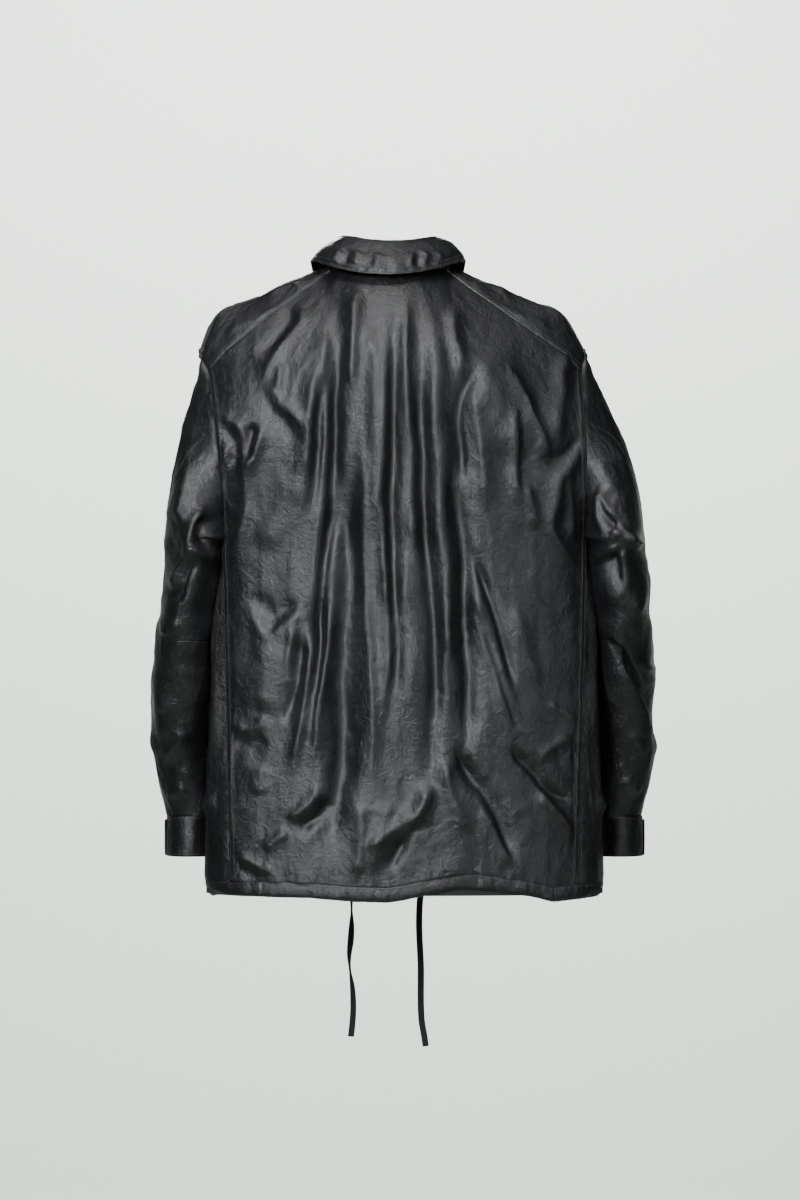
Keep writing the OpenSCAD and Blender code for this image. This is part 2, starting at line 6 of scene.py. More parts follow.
import bmesh
import bpy
import numpy as np
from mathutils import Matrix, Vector


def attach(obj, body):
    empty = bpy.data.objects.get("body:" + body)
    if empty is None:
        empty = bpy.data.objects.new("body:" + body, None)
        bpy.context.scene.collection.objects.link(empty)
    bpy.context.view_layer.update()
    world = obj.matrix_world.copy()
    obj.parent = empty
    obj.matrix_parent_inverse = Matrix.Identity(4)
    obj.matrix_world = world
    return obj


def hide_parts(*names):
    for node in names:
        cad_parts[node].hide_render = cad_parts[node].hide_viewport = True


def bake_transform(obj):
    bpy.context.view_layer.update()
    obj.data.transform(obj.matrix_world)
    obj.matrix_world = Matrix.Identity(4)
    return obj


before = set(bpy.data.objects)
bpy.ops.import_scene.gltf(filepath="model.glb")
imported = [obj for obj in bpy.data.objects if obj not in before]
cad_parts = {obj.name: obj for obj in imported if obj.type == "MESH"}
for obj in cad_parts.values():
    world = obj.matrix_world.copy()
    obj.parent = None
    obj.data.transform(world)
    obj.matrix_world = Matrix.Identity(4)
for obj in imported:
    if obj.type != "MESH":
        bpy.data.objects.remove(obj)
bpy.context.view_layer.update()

# ---------- sizes, in millimetres, as in the design ----------
MM = 0.001
BODY_LENGTH = 764
HEM_Z = -BODY_LENGTH
PIT_Z = -340
NARROW_Z = -190
WAIST_Z = -466
CHEST_HALF = 234
HEM_HALF = 243
CHEST_DEPTH = 105
DEPTH_FLARE = 10
LEAN = 20
SQUARENESS = 2.3
NECK_HALF = 74
NECK_DROP = 74
RIDGE_TOP = 36.5
RIDGE_FALL = 0.47
RIDGE_BLEND = 30
RIDGE_REACH = 170
RIDGE_ROUND = 0.75
NECK_DOME = 12
SADDLE_FALL = 0.80
ARMHOLE = 226
SEAM_TOP = 219
SEAM_LOW = 210
LEATHER = 1.4
PANEL_LOW = -747.2     # lower edge of the leather panels, inside the hem band
LAP = 12               # how far each front reaches past the middle
UNDER_LAP = 7.5        # how far the right front's lap lies behind the left one's
SLEEVE_TOP = -103
SLEEVE_CUT = -455
SLEEVE_LOW = -672
CUFF_HEIGHT = 46
CUFF_LOW = SLEEVE_LOW - CUFF_HEIGHT
TAPE_WIDTH = 8
STITCH_PITCH = 3.3


# ---------- shared curves ----------
def ease(t):
    t = np.clip(t, 0, 1)
    return t * t * (3 - 2 * t)


def mix(a, b, t):
    return a + (b - a) * t


def lean(z):
    return -LEAN * ease(-z / 300)


def ridge_z(x):
    return RIDGE_TOP - RIDGE_FALL * np.sqrt(x * x + RIDGE_BLEND**2)


def dome(x, z):
    return NECK_DOME * np.clip(1 - (x / NECK_HALF) ** 2, 0, None) ** 0.6 * ease((z + 140) / 140)


def head_half(z):
    return 292 - 92 * (np.clip(z - PIT_Z, 0, None) / 280) ** 1.6


def head_top(x):
    return PIT_Z + 280 * (np.clip(292 - x, 0, None) / 92) ** (1 / 1.6)


def body_half(z):
    pit_half = CHEST_HALF - 5
    upper = head_half(np.maximum(z, NARROW_Z))
    narrowing = mix(head_half(NARROW_Z), pit_half, ease((NARROW_Z - z) / (NARROW_Z - PIT_Z + 5)))
    waist = mix(pit_half, CHEST_HALF, ease((PIT_Z - 5 - z) / (PIT_Z - 5 - WAIST_Z)))
    low = mix(CHEST_HALF, HEM_HALF, (WAIST_Z - z) / (WAIST_Z - HEM_Z))
    below = np.where(z > WAIST_Z, waist, low)
    return np.where(z > NARROW_Z, upper, np.where(z > PIT_Z - 5, narrowing, below))


def body_depth(z):
    return CHEST_DEPTH + DEPTH_FLARE * ease((PIT_Z - z) / (PIT_Z - HEM_Z))


def rise(x, z):
    t = np.clip((ridge_z(x) + dome(x, z) - z) / RIDGE_REACH, 0, 1)
    return (1 - (1 - t) ** 2) ** RIDGE_ROUND


def depth_at(x, z):
    """Half depth of the body x beside its own middle, at height z."""
    across = np.clip(np.abs(x) / body_half(z), 0, 1)
    return body_depth(z) * rise(x, z) * (1 - across**SQUARENESS) ** (1 / SQUARENESS)


def back_half(z):
    upper = mix(SEAM_TOP, ARMHOLE, (z - PIT_Z) / 215)
    lower = mix(SEAM_TOP, SEAM_LOW, (PIT_Z - z) / (PIT_Z - HEM_Z))
    return np.where(z > PIT_Z, upper, lower)


def neck_side_z():
    """Height of the shoulder line where it meets the neck."""
    return RIDGE_TOP - RIDGE_FALL * math.hypot(NECK_HALF, RIDGE_BLEND)


def saddle_z(x):
    return neck_side_z() - 4 - SADDLE_FALL * (np.abs(x) - NECK_HALF)


def neck_share(x):
    return np.minimum(np.abs(x) / NECK_HALF, 1)


def back_top_z(x):
    middle = np.minimum(-4 + 3 * neck_share(x) ** 2, saddle_z(NECK_HALF))
    return np.where(np.abs(x) < NECK_HALF, middle, saddle_z(x))


def front_top_z(x):
    middle = np.minimum(neck_side_z() - NECK_DROP * (1 - neck_share(x) ** 2) ** 0.75, saddle_z(NECK_HALF))
    return np.where(np.abs(x) < NECK_HALF, middle, saddle_z(x))


def hem_wave(x):
    """How far the hem's edge stands above its mean height, x across the back."""
    places = [-260, -241, -198, -170, -142, -113, -85, -51, -20, 0, 39, 90, 136, 206, 240]
    rises = [0, -1, -4, 3, 7, 11, 12, 6, -1, -4, -3, 1, 2, 3, 2]
    return np.interp(x, places, rises)


# ---------- noise that is the same every run ----------
def hashed(i, j, k, seed):
    n = (i * 374761393 + j * 668265263 + k * 2147483647 + seed * 974634777) & 0xFFFFFFFF
    n = ((n ^ (n >> 13)) * 1274126177) & 0xFFFFFFFF
    return ((n ^ (n >> 16)) & 0xFFFF) / 32767.5 - 1


def noise(p, size, seed=0):
    """Noise from -1 to 1 at the points p. Its lumps are size millimetres, one number or one per axis."""
    q = p / np.asarray(size, float)
    cell = np.floor(q).astype(np.int64)
    f = q - cell
    f = f * f * f * (f * (f * 6 - 15) + 10)
    total = 0
    for dx in (0, 1):
        for dy in (0, 1):
            for dz in (0, 1):
                wx = f[..., 0] if dx else 1 - f[..., 0]
                wy = f[..., 1] if dy else 1 - f[..., 1]
                wz = f[..., 2] if dz else 1 - f[..., 2]
                corner = hashed(cell[..., 0] + dx, cell[..., 1] + dy, cell[..., 2] + dz, seed)
                total = total + wx * wy * wz * corner
    return total


def creases(p, size, seed):
    """Thin valleys between smooth pillows, from -1 in a crease to 0."""
    n = noise(p, size, seed) + 0.5 * noise(p, np.asarray(size) * 0.5, seed + 7)
    return -np.exp(-((n / 0.09) ** 2))


def crests(p, size, seed):
    """Narrow crests between soft hollows, from 0 to 1."""
    return np.clip(1 - 2.4 * np.abs(noise(p, size, seed)), 0, 1) ** 1.6


def bent(p):
    """Points moved about a little, so that what is drawn along smooth lines comes out uneven."""
    sway = [1.9 * noise(p, (30, 30, 60), 130 + i) + 0.7 * noise(p, (10, 10, 18), 140 + i) for i in (0, 1, 2)]
    return p + np.stack(sway, -1)


def leather_relief(p, liveliness=1.0):
    """The unevenness of thin leather at rest, in millimetres, wherever no seam or big fold shapes it."""
    q = bent(p)
    soft = 1.5 * noise(p, (60, 60, 190), 1) + 1.0 * noise(p, (28, 28, 80), 2)
    small = 0.50 * noise(q, (13, 13, 26), 3) + 0.20 * noise(p, (6, 6, 9), 4) + 0.07 * noise(p, 2.6, 6)
    where = ease(0.5 + 0.9 * noise(p, 90, 5))
    lines = 0.40 * creases(p, (30, 30, 46), 11) * where
    lines = lines + 0.20 * creases(q, (11, 11, 15), 15) * (0.3 + 0.7 * where)
    sharp = 1.0 * crests(q, (34, 34, 120), 17) * (1 - 0.6 * where)
    sharp = sharp + 0.55 * crests(q, (20, 20, 42), 19) * where
    return liveliness * (soft + small + lines + sharp)


# ---------- folds ----------
def smooth_path(points, step=4.0):
    """A smooth curve through the points, as close samples, and each sample's share of the way along."""
    p = np.array(points, float)
    if len(p) == 2:
        p = np.array([p[0], p.mean(0), p[1]])
    padded = np.vstack([2 * p[0] - p[1], p, 2 * p[-1] - p[-2]])
    samples = []
    for a, b, c, d in zip(padded, padded[1:], padded[2:], padded[3:]):
        n = max(2, int(np.linalg.norm(c - b) / step))
        t = np.linspace(0, 1, n, endpoint=False)[:, None]
        squared = (2 * a - 5 * b + 4 * c - d) * t**2
        cubed = (3 * b - a - 3 * c + d) * t**3
        samples.append(0.5 * (2 * b + (c - a) * t + squared + cubed))
    samples.append(p[-1:])
    line = np.vstack(samples)
    run = np.concatenate([[0], np.cumsum(np.linalg.norm(np.diff(line, axis=0), axis=1))])
    return line, run / run[-1]


def fold(chart, height, left, right, crisp, points, tail=0.25):
    """One ridge, or a valley where height is below 0, along points in the chart, left and right wide."""
    line, along = smooth_path(points)
    reach = 3.2 * max(left, right)
    out = np.zeros(chart.shape[:-1])
    near = np.all((chart > line.min(0) - reach) & (chart < line.max(0) + reach), axis=-1)
    q = chart[near]
    if not len(q):
        return out
    gap = np.full(len(q), 1e9)
    side = np.zeros(len(q))
    share = np.zeros(len(q))
    for i in range(len(line) - 1):
        a, b = line[i], line[i + 1]
        ab = b - a
        t = np.clip(((q - a) @ ab) / (ab @ ab), 0, 1)
        off = q - (a + t[:, None] * ab)
        d = np.hypot(off[:, 0], off[:, 1])
        closer = d < gap
        gap[closer] = d[closer]
        side[closer] = (ab[0] * (q[closer, 1] - a[1]) - ab[1] * (q[closer, 0] - a[0]))
        share[closer] = mix(along[i], along[i + 1], t[closer])
    soft_side = ease(0.5 + side / (np.abs(side) + 1e-6) * np.minimum(gap / 6, 1) * 0.5)
    width = mix(right, left, soft_side)
    r = gap / width
    round_shape = np.exp(-(r**2))
    sharp_shape = np.exp(-1.5 * (np.sqrt(r**2 + 0.02) - 0.1414))
    ends = ease(share / tail) * ease((1 - share) / tail)
    out[near] = height * ends * mix(round_shape, sharp_shape, crisp)
    return out


def folds(chart, strokes, base=None):
    """All the strokes together; with base, a little uneven along their lines and in height."""
    if base is None:
        return sum(fold(chart, *stroke) for stroke in strokes)
    moved = bent(base)
    chart = np.stack([moved[..., 0], moved[..., 2]], -1)
    uneven = 0.95 + 0.35 * noise(base, (40, 40, 55), 150)
    return uneven * sum(fold(chart, *stroke) for stroke in strokes)


# Each stroke: height, width on its left going along, width on its right, crispness, points (x, z).
# Points run downwards on the back, so the first width is towards the wearer's left.
BACK_FOLDS = [
    (8, 24, 8, 0.6, [(70, -40), (74, -85), (78, -120), (88, -176), (94, -206), (97, -240), (101, -268),
                     (108, -310)]),
    (-5, 6, 6, 0.2, [(80, -110), (81, -165), (84, -210), (88, -260), (94, -305)]),
    (5, 8, 6, 0.7, [(68, -110), (71, -160), (73, -205), (75, -255), (79, -300), (83, -348), (88, -410),
                    (93, -470)]),
    (-12, 9, 10, 0.3, [(64, -70), (63, -130), (64, -190), (67, -245), (71, -295), (77, -350), (81, -400),
                       (83, -450), (89, -505), (98, -565)]),
    (-15, 15, 17, 0.0, [(56, -215), (53, -290), (48, -350), (48, -400), (51, -450), (56, -532), (57, -617),
                        (66, -673), (70, -738)]),
    (6, 12, 9, 0.5, [(39, -22), (38, -45), (39, -75), (42, -115), (44, -160)]),
    (5, 12, 12, 0.4, [(31, -52), (24, -85), (16, -113), (16, -150), (15, -189), (15, -240), (16, -290),
                      (16, -340)]),
    (5, 9, 9, 0.7, [(37, -165), (34, -189), (30, -240), (29, -290), (30, -350), (26, -420), (21, -500),
                    (19, -560), (21, -620), (26, -665)]),
    (6, 14, 5, 0.8, [(2, -30), (3, -88), (4, -138), (3, -189), (7, -240), (9, -277), (6, -320), (3, -380),
                     (-1, -447), (3, -518), (10, -574), (12, -610)]),
    (-5, 5, 8, 0.3, [(-7, -60), (-7, -120), (-7, -190), (-3, -250), (-3, -300), (-6, -370), (-11, -447),
                     (-8, -520), (0, -580)]),
    (7, 14, 8, 0.7, [(-34, -14), (-24, -45), (-20, -83), (-21, -126), (-26, -176), (-28, -227), (-27, -277),
                     (-30, -328), (-31, -380)]),
    (6, 22, 22, 0.0, [(-20, -330), (-26, -400), (-27, -470), (-24, -540), (-22, -600)]),
    (-8, 8, 9, 0.2, [(-39, -80), (-40, -140), (-41, -200), (-41, -260), (-43, -310), (-48, -370),
                     (-55, -430), (-57, -503), (-52, -560), (-49, -617), (-50, -650)]),
    (9, 14, 15, 0.1, [(-44, -12), (-50, -50), (-56, -103), (-59, -164), (-60, -214), (-63, -265),
                      (-66, -315), (-70, -356), (-71, -418), (-72, -475), (-74, -532), (-76, -575)]),
    (6, 9, 10, 0.4, [(-76, -48), (-78, -88), (-84, -106), (-88, -128), (-90, -145)]),
    (-9, 10, 5, 0.6, [(-104, -118), (-100, -136), (-89, -160), (-83, -181), (-84, -204), (-87, -232),
                      (-88, -270)]),
    (7, 10, 14, 0.4, [(-97, -134), (-102, -176), (-109, -214), (-114, -265), (-118, -305)]),
    (-11, 12, 11, 0.1, [(-76, -225), (-79, -270), (-86, -315), (-90, -360), (-91, -433), (-94, -503),
                        (-95, -560), (-88, -600)]),
    (7, 26, 26, 0.0, [(-112, -90), (-119, -138), (-129, -176), (-138, -205), (-143, -245)]),
    (4, 8, 6, 0.8, [(-151, -170), (-153, -214), (-151, -250), (-155, -272), (-164, -294)]),
    (4, 12, 7, 0.6, [(-138, -118), (-162, -158), (-182, -201), (-192, -234), (-198, -254)]),
    (5, 12, 9, 0.4, [(-211, -96), (-210, -150), (-205, -189), (-205, -222)]),
    (-5, 9, 9, 0.3, [(-236, -205), (-218, -227), (-197, -238), (-180, -236)]),
    (7, 9, 9, 0.6, [(-236, -214), (-224, -240), (-206, -259), (-200, -290), (-195, -318), (-204, -341),
                    (-217, -357), (-224, -376)]),
    (4, 7, 6, 0.6, [(-226, -246), (-218, -265), (-219, -292), (-220, -340)]),
    (3.5, 9, 8, 0.4, [(-166, -262), (-173, -292), (-181, -324)]),
    (6, 9, 12, 0.4, [(-93, -370), (-104, -410), (-116, -450), (-129, -485), (-142, -532), (-153, -570)]),
    (-7, 5, 7, 0.6, [(-100, -340), (-110, -368), (-122, -410), (-136, -452), (-148, -493), (-156, -520)]),
    (-5, 4, 4, 0.7, [(-98, -400), (-108, -428), (-122, -464), (-139, -515), (-153, -550), (-160, -575)]),
    (4, 14, 10, 0.4, [(-148, -410), (-159, -441), (-173, -492), (-188, -508)]),
    (3, 7, 7, 0.6, [(-224, -570), (-205, -578), (-188, -590), (-178, -600)]),
    (2.5, 7, 7, 0.5, [(-190, -528), (-208, -540), (-226, -553)]),
    (-6, 5, 8, 0.6, [(-146, -575), (-153, -588), (-173, -611), (-195, -638), (-226, -648)]),
    (4, 9, 5, 0.6, [(-180, -632), (-198, -658), (-216, -680), (-224, -700)]),
    (-11, 8, 12, 0.4, [(-84, -570), (-86, -592), (-99, -618), (-121, -645), (-139, -687), (-158, -728)]),
    (6, 8, 10, 0.5, [(-112, -652), (-128, -676), (-140, -703), (-152, -730)]),
    (6, 10, 10, 0.5, [(-66, -590), (-72, -630), (-84, -660), (-96, -690)]),
    (7, 12, 9, 0.4, [(-52, -622), (-40, -652), (-28, -676), (-16, -700)]),
    (-6, 8, 7, 0.4, [(-40, -664), (-26, -684), (-12, -706), (4, -732)]),
    (5, 8, 10, 0.5, [(-30, -648), (-10, -676), (14, -696), (30, -706)]),
    (4.9, 9, 8, 0.5, [(100, -44), (104, -70), (122, -98), (139, -124), (155, -148)]),
    (-5, 9, 9, 0.2, [(112, -48), (118, -74), (134, -96), (152, -116)]),
    (4.4, 9, 12, 0.7, [(158, -150), (146, -150), (136, -157), (131, -171), (114, -185), (98, -203)]),
    (-3, 12, 12, 0.2, [(150, -164), (138, -180), (120, -202), (108, -226)]),
    (4, 6, 6, 0.6, [(124, -120), (129, -138), (132, -156)]),
    (3.6, 8, 8, 0.7, [(214, -172), (204, -184), (190, -190), (178, -196), (172, -211), (171, -238),
                      (175, -264)]),
    (-3, 9, 9, 0.2, [(206, -196), (190, -206), (182, -226), (186, -250)]),
    (6, 9, 9, 0.5, [(152, -176), (153, -204), (158, -229), (168, -259), (169, -297), (177, -335),
                    (182, -370)]),
    (-6, 9, 8, 0.3, [(163, -190), (166, -214), (168, -240)]),
    (5, 8, 8, 0.7, [(190, -208), (195, -232), (204, -262), (203, -284)]),
    (4, 7, 7, 0.6, [(213, -178), (208, -209), (202, -236), (208, -262)]),
    (4, 18, 16, 0.2, [(109, -250), (120, -285), (131, -310), (150, -350)]),
    (3.5, 12, 10, 0.7, [(166, -404), (160, -424), (150, -446), (138, -451), (125, -436), (110, -427),
                        (92, -427)]),
    (-3.5, 12, 12, 0.1, [(160, -392), (148, -418), (132, -424), (112, -402)]),
    (4.8, 26, 22, 0.0, [(134, -450), (140, -485), (146, -520), (150, -548)]),
    (5, 8, 7, 0.6, [(112, -430), (116, -455), (118, -490), (112, -525)]),
    (-6, 8, 8, 0.2, [(106, -440), (108, -480), (114, -520), (122, -560)]),
    (8, 8, 8, 0.6, [(92, -432), (93, -470), (99, -518), (105, -562), (114, -602), (124, -620)]),
    (7, 8, 8, 0.6, [(68, -392), (71, -446), (79, -504), (85, -540), (87, -580), (98, -608)]),
    (3.6, 9, 8, 0.5, [(190, -548), (177, -560), (161, -561), (144, -544)]),
    (-3, 12, 12, 0.1, [(184, -572), (164, -580), (146, -572)]),
    (3, 9, 12, 0.4, [(150, -600), (156, -620), (150, -640)]),
    (4.2, 9, 9, 0.4, [(124, -668), (108, -660), (92, -648), (78, -626)]),
    (-6, 8, 8, 0.3, [(112, -680), (96, -672), (82, -660), (72, -640)]),
    (3, 8, 8, 0.5, [(150, -706), (132, -690), (116, -684)]),
    (3.6, 6, 7, 0.7, [(186, -710), (170, -718), (154, -726), (136, -734)]),
    (-3, 10, 8, 0.1, [(190, -724), (168, -736), (142, -744)]),
    (5, 10, 10, 0.4, [(36, -640), (32, -680), (34, -720), (40, -745)]),
    (4, 12, 10, 0.4, [(-8, -640), (4, -668), (12, -700), (14, -735)]),
]


def band(sides, seed, top, low, count, height, width):
    """Soft upright folds for the front, which nothing shows: count of them between two x places."""
    made = []
    rng = np.random.default_rng(seed)
    for i in range(count):
        x = mix(sides[0], sides[1], (i + 0.5) / count) + rng.uniform(-8, 8)
        z = mix(top, low, np.linspace(0, 1, 6)) + rng.uniform(-25, 25)
        drift = np.cumsum(rng.uniform(-6, 6, 6))
        tall = height * rng.uniform(0.5, 1.1) * (1 if i % 2 else -1)
        made.append((tall, width * rng.uniform(0.7, 1.3), width * rng.uniform(0.7, 1.3), rng.uniform(0, 0.5),
                     list(zip(x + drift, z))))
    return made


LEFT_FRONT_FOLDS = band((45, 195), 3, -150, -730, 7, 6.5, 13) + [
    (6, 9, 14, 0.4, [(205, -330), (180, -345), (150, -372), (118, -390)]),
    (-6, 9, 9, 0.2, [(200, -300), (172, -318), (142, -338)]),
    (5, 8, 10, 0.5, [(90, -120), (120, -170), (150, -235), (185, -290)]),
]
RIGHT_FRONT_FOLDS = band((-215, -48), 8, -150, -730, 7, 6.5, 13) + [
    (6, 12, 9, 0.4, [(-225, -330), (-200, -348), (-168, -372), (-135, -388)]),
    (-6, 9, 9, 0.2, [(-220, -296), (-190, -316), (-160, -336)]),
    (5, 10, 8, 0.5, [(-95, -120), (-130, -175), (-165, -240), (-200, -295)]),
]

# Folds on the half of each sleeve that faces back, then on the half that faces front, as (x, z).
LEFT_SLEEVE_BACK = [
    (9, 7, 9, 0.6, [(216, -286), (228, -308), (236, -325), (236, -340), (226, -352), (214, -350),
                    (210, -330)]),
    (-13, 8, 8, 0.2, [(222, -305), (222, -325), (220, -342)]),
    (8, 7, 10, 0.6, [(232, -330), (243, -354), (254, -367), (261, -384), (262, -400)]),
    (-9, 22, 6, 0.3, [(226, -360), (240, -372), (250, -390), (256, -412)]),
    (5, 12, 10, 0.4, [(240, -235), (244, -262), (250, -290), (256, -320)]),
    (-4, 9, 9, 0.3, [(256, -300), (262, -330), (266, -360)]),
    (4, 9, 9, 0.5, [(250, -430), (262, -440), (274, -446)]),
    (5, 10, 10, 0.4, [(276, -500), (274, -522), (270, -544)]),
    (5, 8, 8, 0.6, [(246, -560), (258, -582), (270, -592), (280, -596)]),
    (-5, 9, 9, 0.2, [(250, -596), (262, -606), (276, -612)]),
    (4, 8, 8, 0.5, [(246, -630), (258, -640), (270, -640)]),
]
RIGHT_SLEEVE_BACK = [
    (9, 7, 8, 0.7, [(-262, -340), (-256, -310), (-256, -283), (-266, -300), (-288, -325), (-312, -339)]),
    (7, 7, 7, 0.7, [(-264, -328), (-281, -326), (-296, -337), (-310, -342)]),
    (-11, 9, 9, 0.2, [(-262, -318), (-276, -314), (-290, -334)]),
    (-14, 16, 14, 0.1, [(-262, -350), (-272, -366), (-284, -366)]),
    (7, 12, 9, 0.4, [(-312, -340), (-316, -370), (-308, -400), (-296, -430)]),
    (5, 14, 12, 0.3, [(-254, -236), (-262, -258), (-276, -280)]),
    (8, 6, 12, 0.5, [(-262, -438), (-280, -458), (-300, -484), (-318, -508), (-330, -530)]),
    (-20, 5, 34, 0.5, [(-262, -444), (-282, -472), (-302, -502), (-320, -528), (-328, -556), (-324, -592)]),
    (6, 6, 6, 0.6, [(-310, -482), (-318, -488), (-328, -484)]),
    (4, 9, 9, 0.5, [(-292, -566), (-304, -580), (-318, -590)]),
    (4, 9, 9, 0.4, [(-284, -620), (-296, -632), (-308, -640)]),
]
LEFT_SLEEVE_FRONT = [
    (7, 9, 9, 0.5, [(230, -300), (250, -325), (270, -342)]),
    (-7, 9, 9, 0.3, [(228, -322), (250, -346), (272, -362)]),
    (8, 8, 9, 0.6, [(224, -470), (250, -492), (284, -500)]),
    (-9, 9, 9, 0.3, [(224, -492), (250, -512), (284, -516)]),
    (8, 9, 8, 0.6, [(224, -548), (250, -534), (282, -536)]),
    (5, 9, 9, 0.4, [(240, -590), (256, -606), (276, -610)]),
    (5, 9, 9, 0.4, [(226, -640), (246, -630), (268, -636)]),
]
RIGHT_SLEEVE_FRONT = [
    (7, 9, 9, 0.5, [(-264, -300), (-286, -325), (-308, -342)]),
    (-7, 9, 9, 0.3, [(-262, -322), (-286, -346), (-312, -362)]),
    (8, 8, 9, 0.6, [(-264, -462), (-292, -486), (-324, -498)]),
    (-9, 9, 9, 0.3, [(-264, -486), (-292, -508), (-324, -514)]),
    (8, 9, 8, 0.6, [(-262, -540), (-290, -530), (-322, -534)]),
    (5, 9, 9, 0.4, [(-276, -590), (-292, -606), (-312, -610)]),
    (5, 9, 9, 0.4, [(-262, -640), (-282, -630), (-304, -636)]),
]
SLEEVE_FOLDS = {"left": (LEFT_SLEEVE_BACK, LEFT_SLEEVE_FRONT),
                "right": (RIGHT_SLEEVE_BACK, RIGHT_SLEEVE_FRONT)}


# ---------- grids of points ----------
def spread(length, fine_start=14, fine_end=14, step=3.0, fine=1.1):
    """Shares from 0 to 1 along an edge, close together near both ends, where seams are."""
    start = np.arange(0, fine_start, fine) if fine_start else np.array([0.0])
    end = length - np.arange(0, fine_end, fine)[::-1] if fine_end else np.array([length])
    middle = np.linspace(start[-1], end[0], max(3, int((end[0] - start[-1]) / step)) + 1)[1:-1]
    extra = [0.35] if fine_start else []
    run = np.concatenate([start, middle, end, extra, [length - 0.35] if fine_end else []])
    return np.unique(np.round(run, 3)) / length


def normals_of(grid):
    n = np.cross(np.gradient(grid, axis=0), np.gradient(grid, axis=1))
    return n / np.maximum(np.linalg.norm(n, axis=-1, keepdims=True), 1e-9)


def edge_runs(grid):
    """Distance of each point from the grid's top, bottom, first and last edges, along the surface."""
    down = np.linalg.norm(np.diff(grid, axis=0), axis=-1)
    across = np.linalg.norm(np.diff(grid, axis=1), axis=-1)
    top = np.vstack([np.zeros(grid.shape[1]), np.cumsum(down, 0)])
    first = np.hstack([np.zeros((grid.shape[0], 1)), np.cumsum(across, 1)])
    return top, top[-1:] - top, first, first[:, -1:] - first


def seam_shape(d, along, seed, raised=1.0, lines=(2.5, 8.5), pucker=0.45, reach=13):
    """Height beside a seam: a rounded edge, a raised double layer, a dip at each row of stitches, puckers."""
    lip = -1.1 * np.exp(-((d / 1.1) ** 2))
    layer = raised * (1 - ease((d - max(lines)) / 3.0))
    dips = sum(-0.42 * np.exp(-(((d - at) / 0.9) ** 2)) for at in lines)
    p = np.stack([along, d * 0.35, np.zeros_like(d) + seed * 31.7], -1)
    waves = noise(p, (4.6, 14, 9), seed) + 0.7 * noise(p, (9, 20, 9), seed + 1)
    strength = pucker * (0.55 + 0.45 * noise(p, (60, 60, 60), seed + 2))
    return lip + layer + dips + strength * waves * np.exp(-((d / reach) ** 2)) * ease(d / 1.5)


def displaced(grid, height, outward):
    return grid + outward * height[..., None]


def settled(grid):
    """Fills out the shoulders and draws the hem's two corners in, as the hung leather does."""
    out = grid.copy()
    z = grid[..., 2]
    x = grid[..., 0] - lean(z)
    side = np.sign(x)
    shoulder = 9 * ease((np.abs(x) - 80) / 130) * ease((-20 - z) / 50) * ease((z + 138) / 36)
    corner = np.clip((-735 - z) / 24, 0, 1.2) ** 2 * ease((np.abs(x) - 190) / 50)
    out[..., 0] += side * (shoulder - 6 * corner)
    return out


class Piece:
    """A panel as a grid: where it lies once folded, and its outward direction, away from the middle."""

    def __init__(self, name, base, height, middle=(-LEAN, 0)):
        self.name = name
        base = settled(base)
        outward = normals_of(base)
        away = base[..., :2] - np.asarray(middle)
        self.flip = bool((outward[..., :2] * away).sum() < 0)
        sign = -1 if self.flip else 1
        self.grid = displaced(base, height, outward * sign)
        self.outward = normals_of(self.grid) * sign

    def part(self, name, rows):
        """Some rows of this piece, as a piece of their own."""
        piece = copy.copy(self)
        piece.name = name
        piece.grid = self.grid[rows]
        piece.outward = self.outward[rows]
        return piece


def add_mesh(name, points, faces, material_index=None):
    mesh = bpy.data.meshes.new(name)
    mesh.from_pydata((np.asarray(points) * MM).tolist(), [], faces)
    mesh.polygons.foreach_set("use_smooth", [True] * len(mesh.polygons))
    if material_index is not None:
        mesh.polygons.foreach_set("material_index", material_index)
    mesh.update()
    obj = bpy.data.objects.new(name, mesh)
    bpy.context.scene.collection.objects.link(obj)
    return obj


def quads(rows, cols, flip, offset=0, closed=False):
    i, j = np.meshgrid(np.arange(rows - 1), np.arange(cols if closed else cols - 1), indexing="ij")
    k = (j + 1) % cols
    a, b = i * cols, (i + 1) * cols
    q = np.stack([a + j, b + j, b + k, a + k], -1).reshape(-1, 4) + offset
    return q[:, ::-1] if flip else q


def border(rows, cols):
    """The index loop round a grid's border, in order."""
    top = np.arange(cols)
    right = np.arange(1, rows) * cols + cols - 1
    low = (rows - 1) * cols + np.arange(cols - 2, -1, -1)
    left = np.arange(rows - 2, 0, -1) * cols
    return np.concatenate([top, right, low, left])


def solid_sheet(piece, thickness, materials):
    """A closed panel: the piece's outer face, its back face, and an edge between them."""
    rows, cols = piece.grid.shape[:2]
    outer = piece.grid.reshape(-1, 3)
    back = outer - piece.outward.reshape(-1, 3) * thickness
    count = len(outer)
    loop = border(rows, cols)
    after = np.roll(loop, -1)
    strip = np.stack([loop, after, after + count, loop + count], -1)
    faces = [quads(rows, cols, piece.flip), quads(rows, cols, not piece.flip, count)]
    faces.append(strip[:, ::-1] if piece.flip else strip)
    index = [0] * len(faces[0]) + [len(materials) - 1] * len(faces[1]) + [0] * len(strip)
    obj = add_mesh(piece.name, np.vstack([outer, back]), np.vstack(faces).tolist(), index)
    for material in materials:
        obj.data.materials.append(material)
    return obj


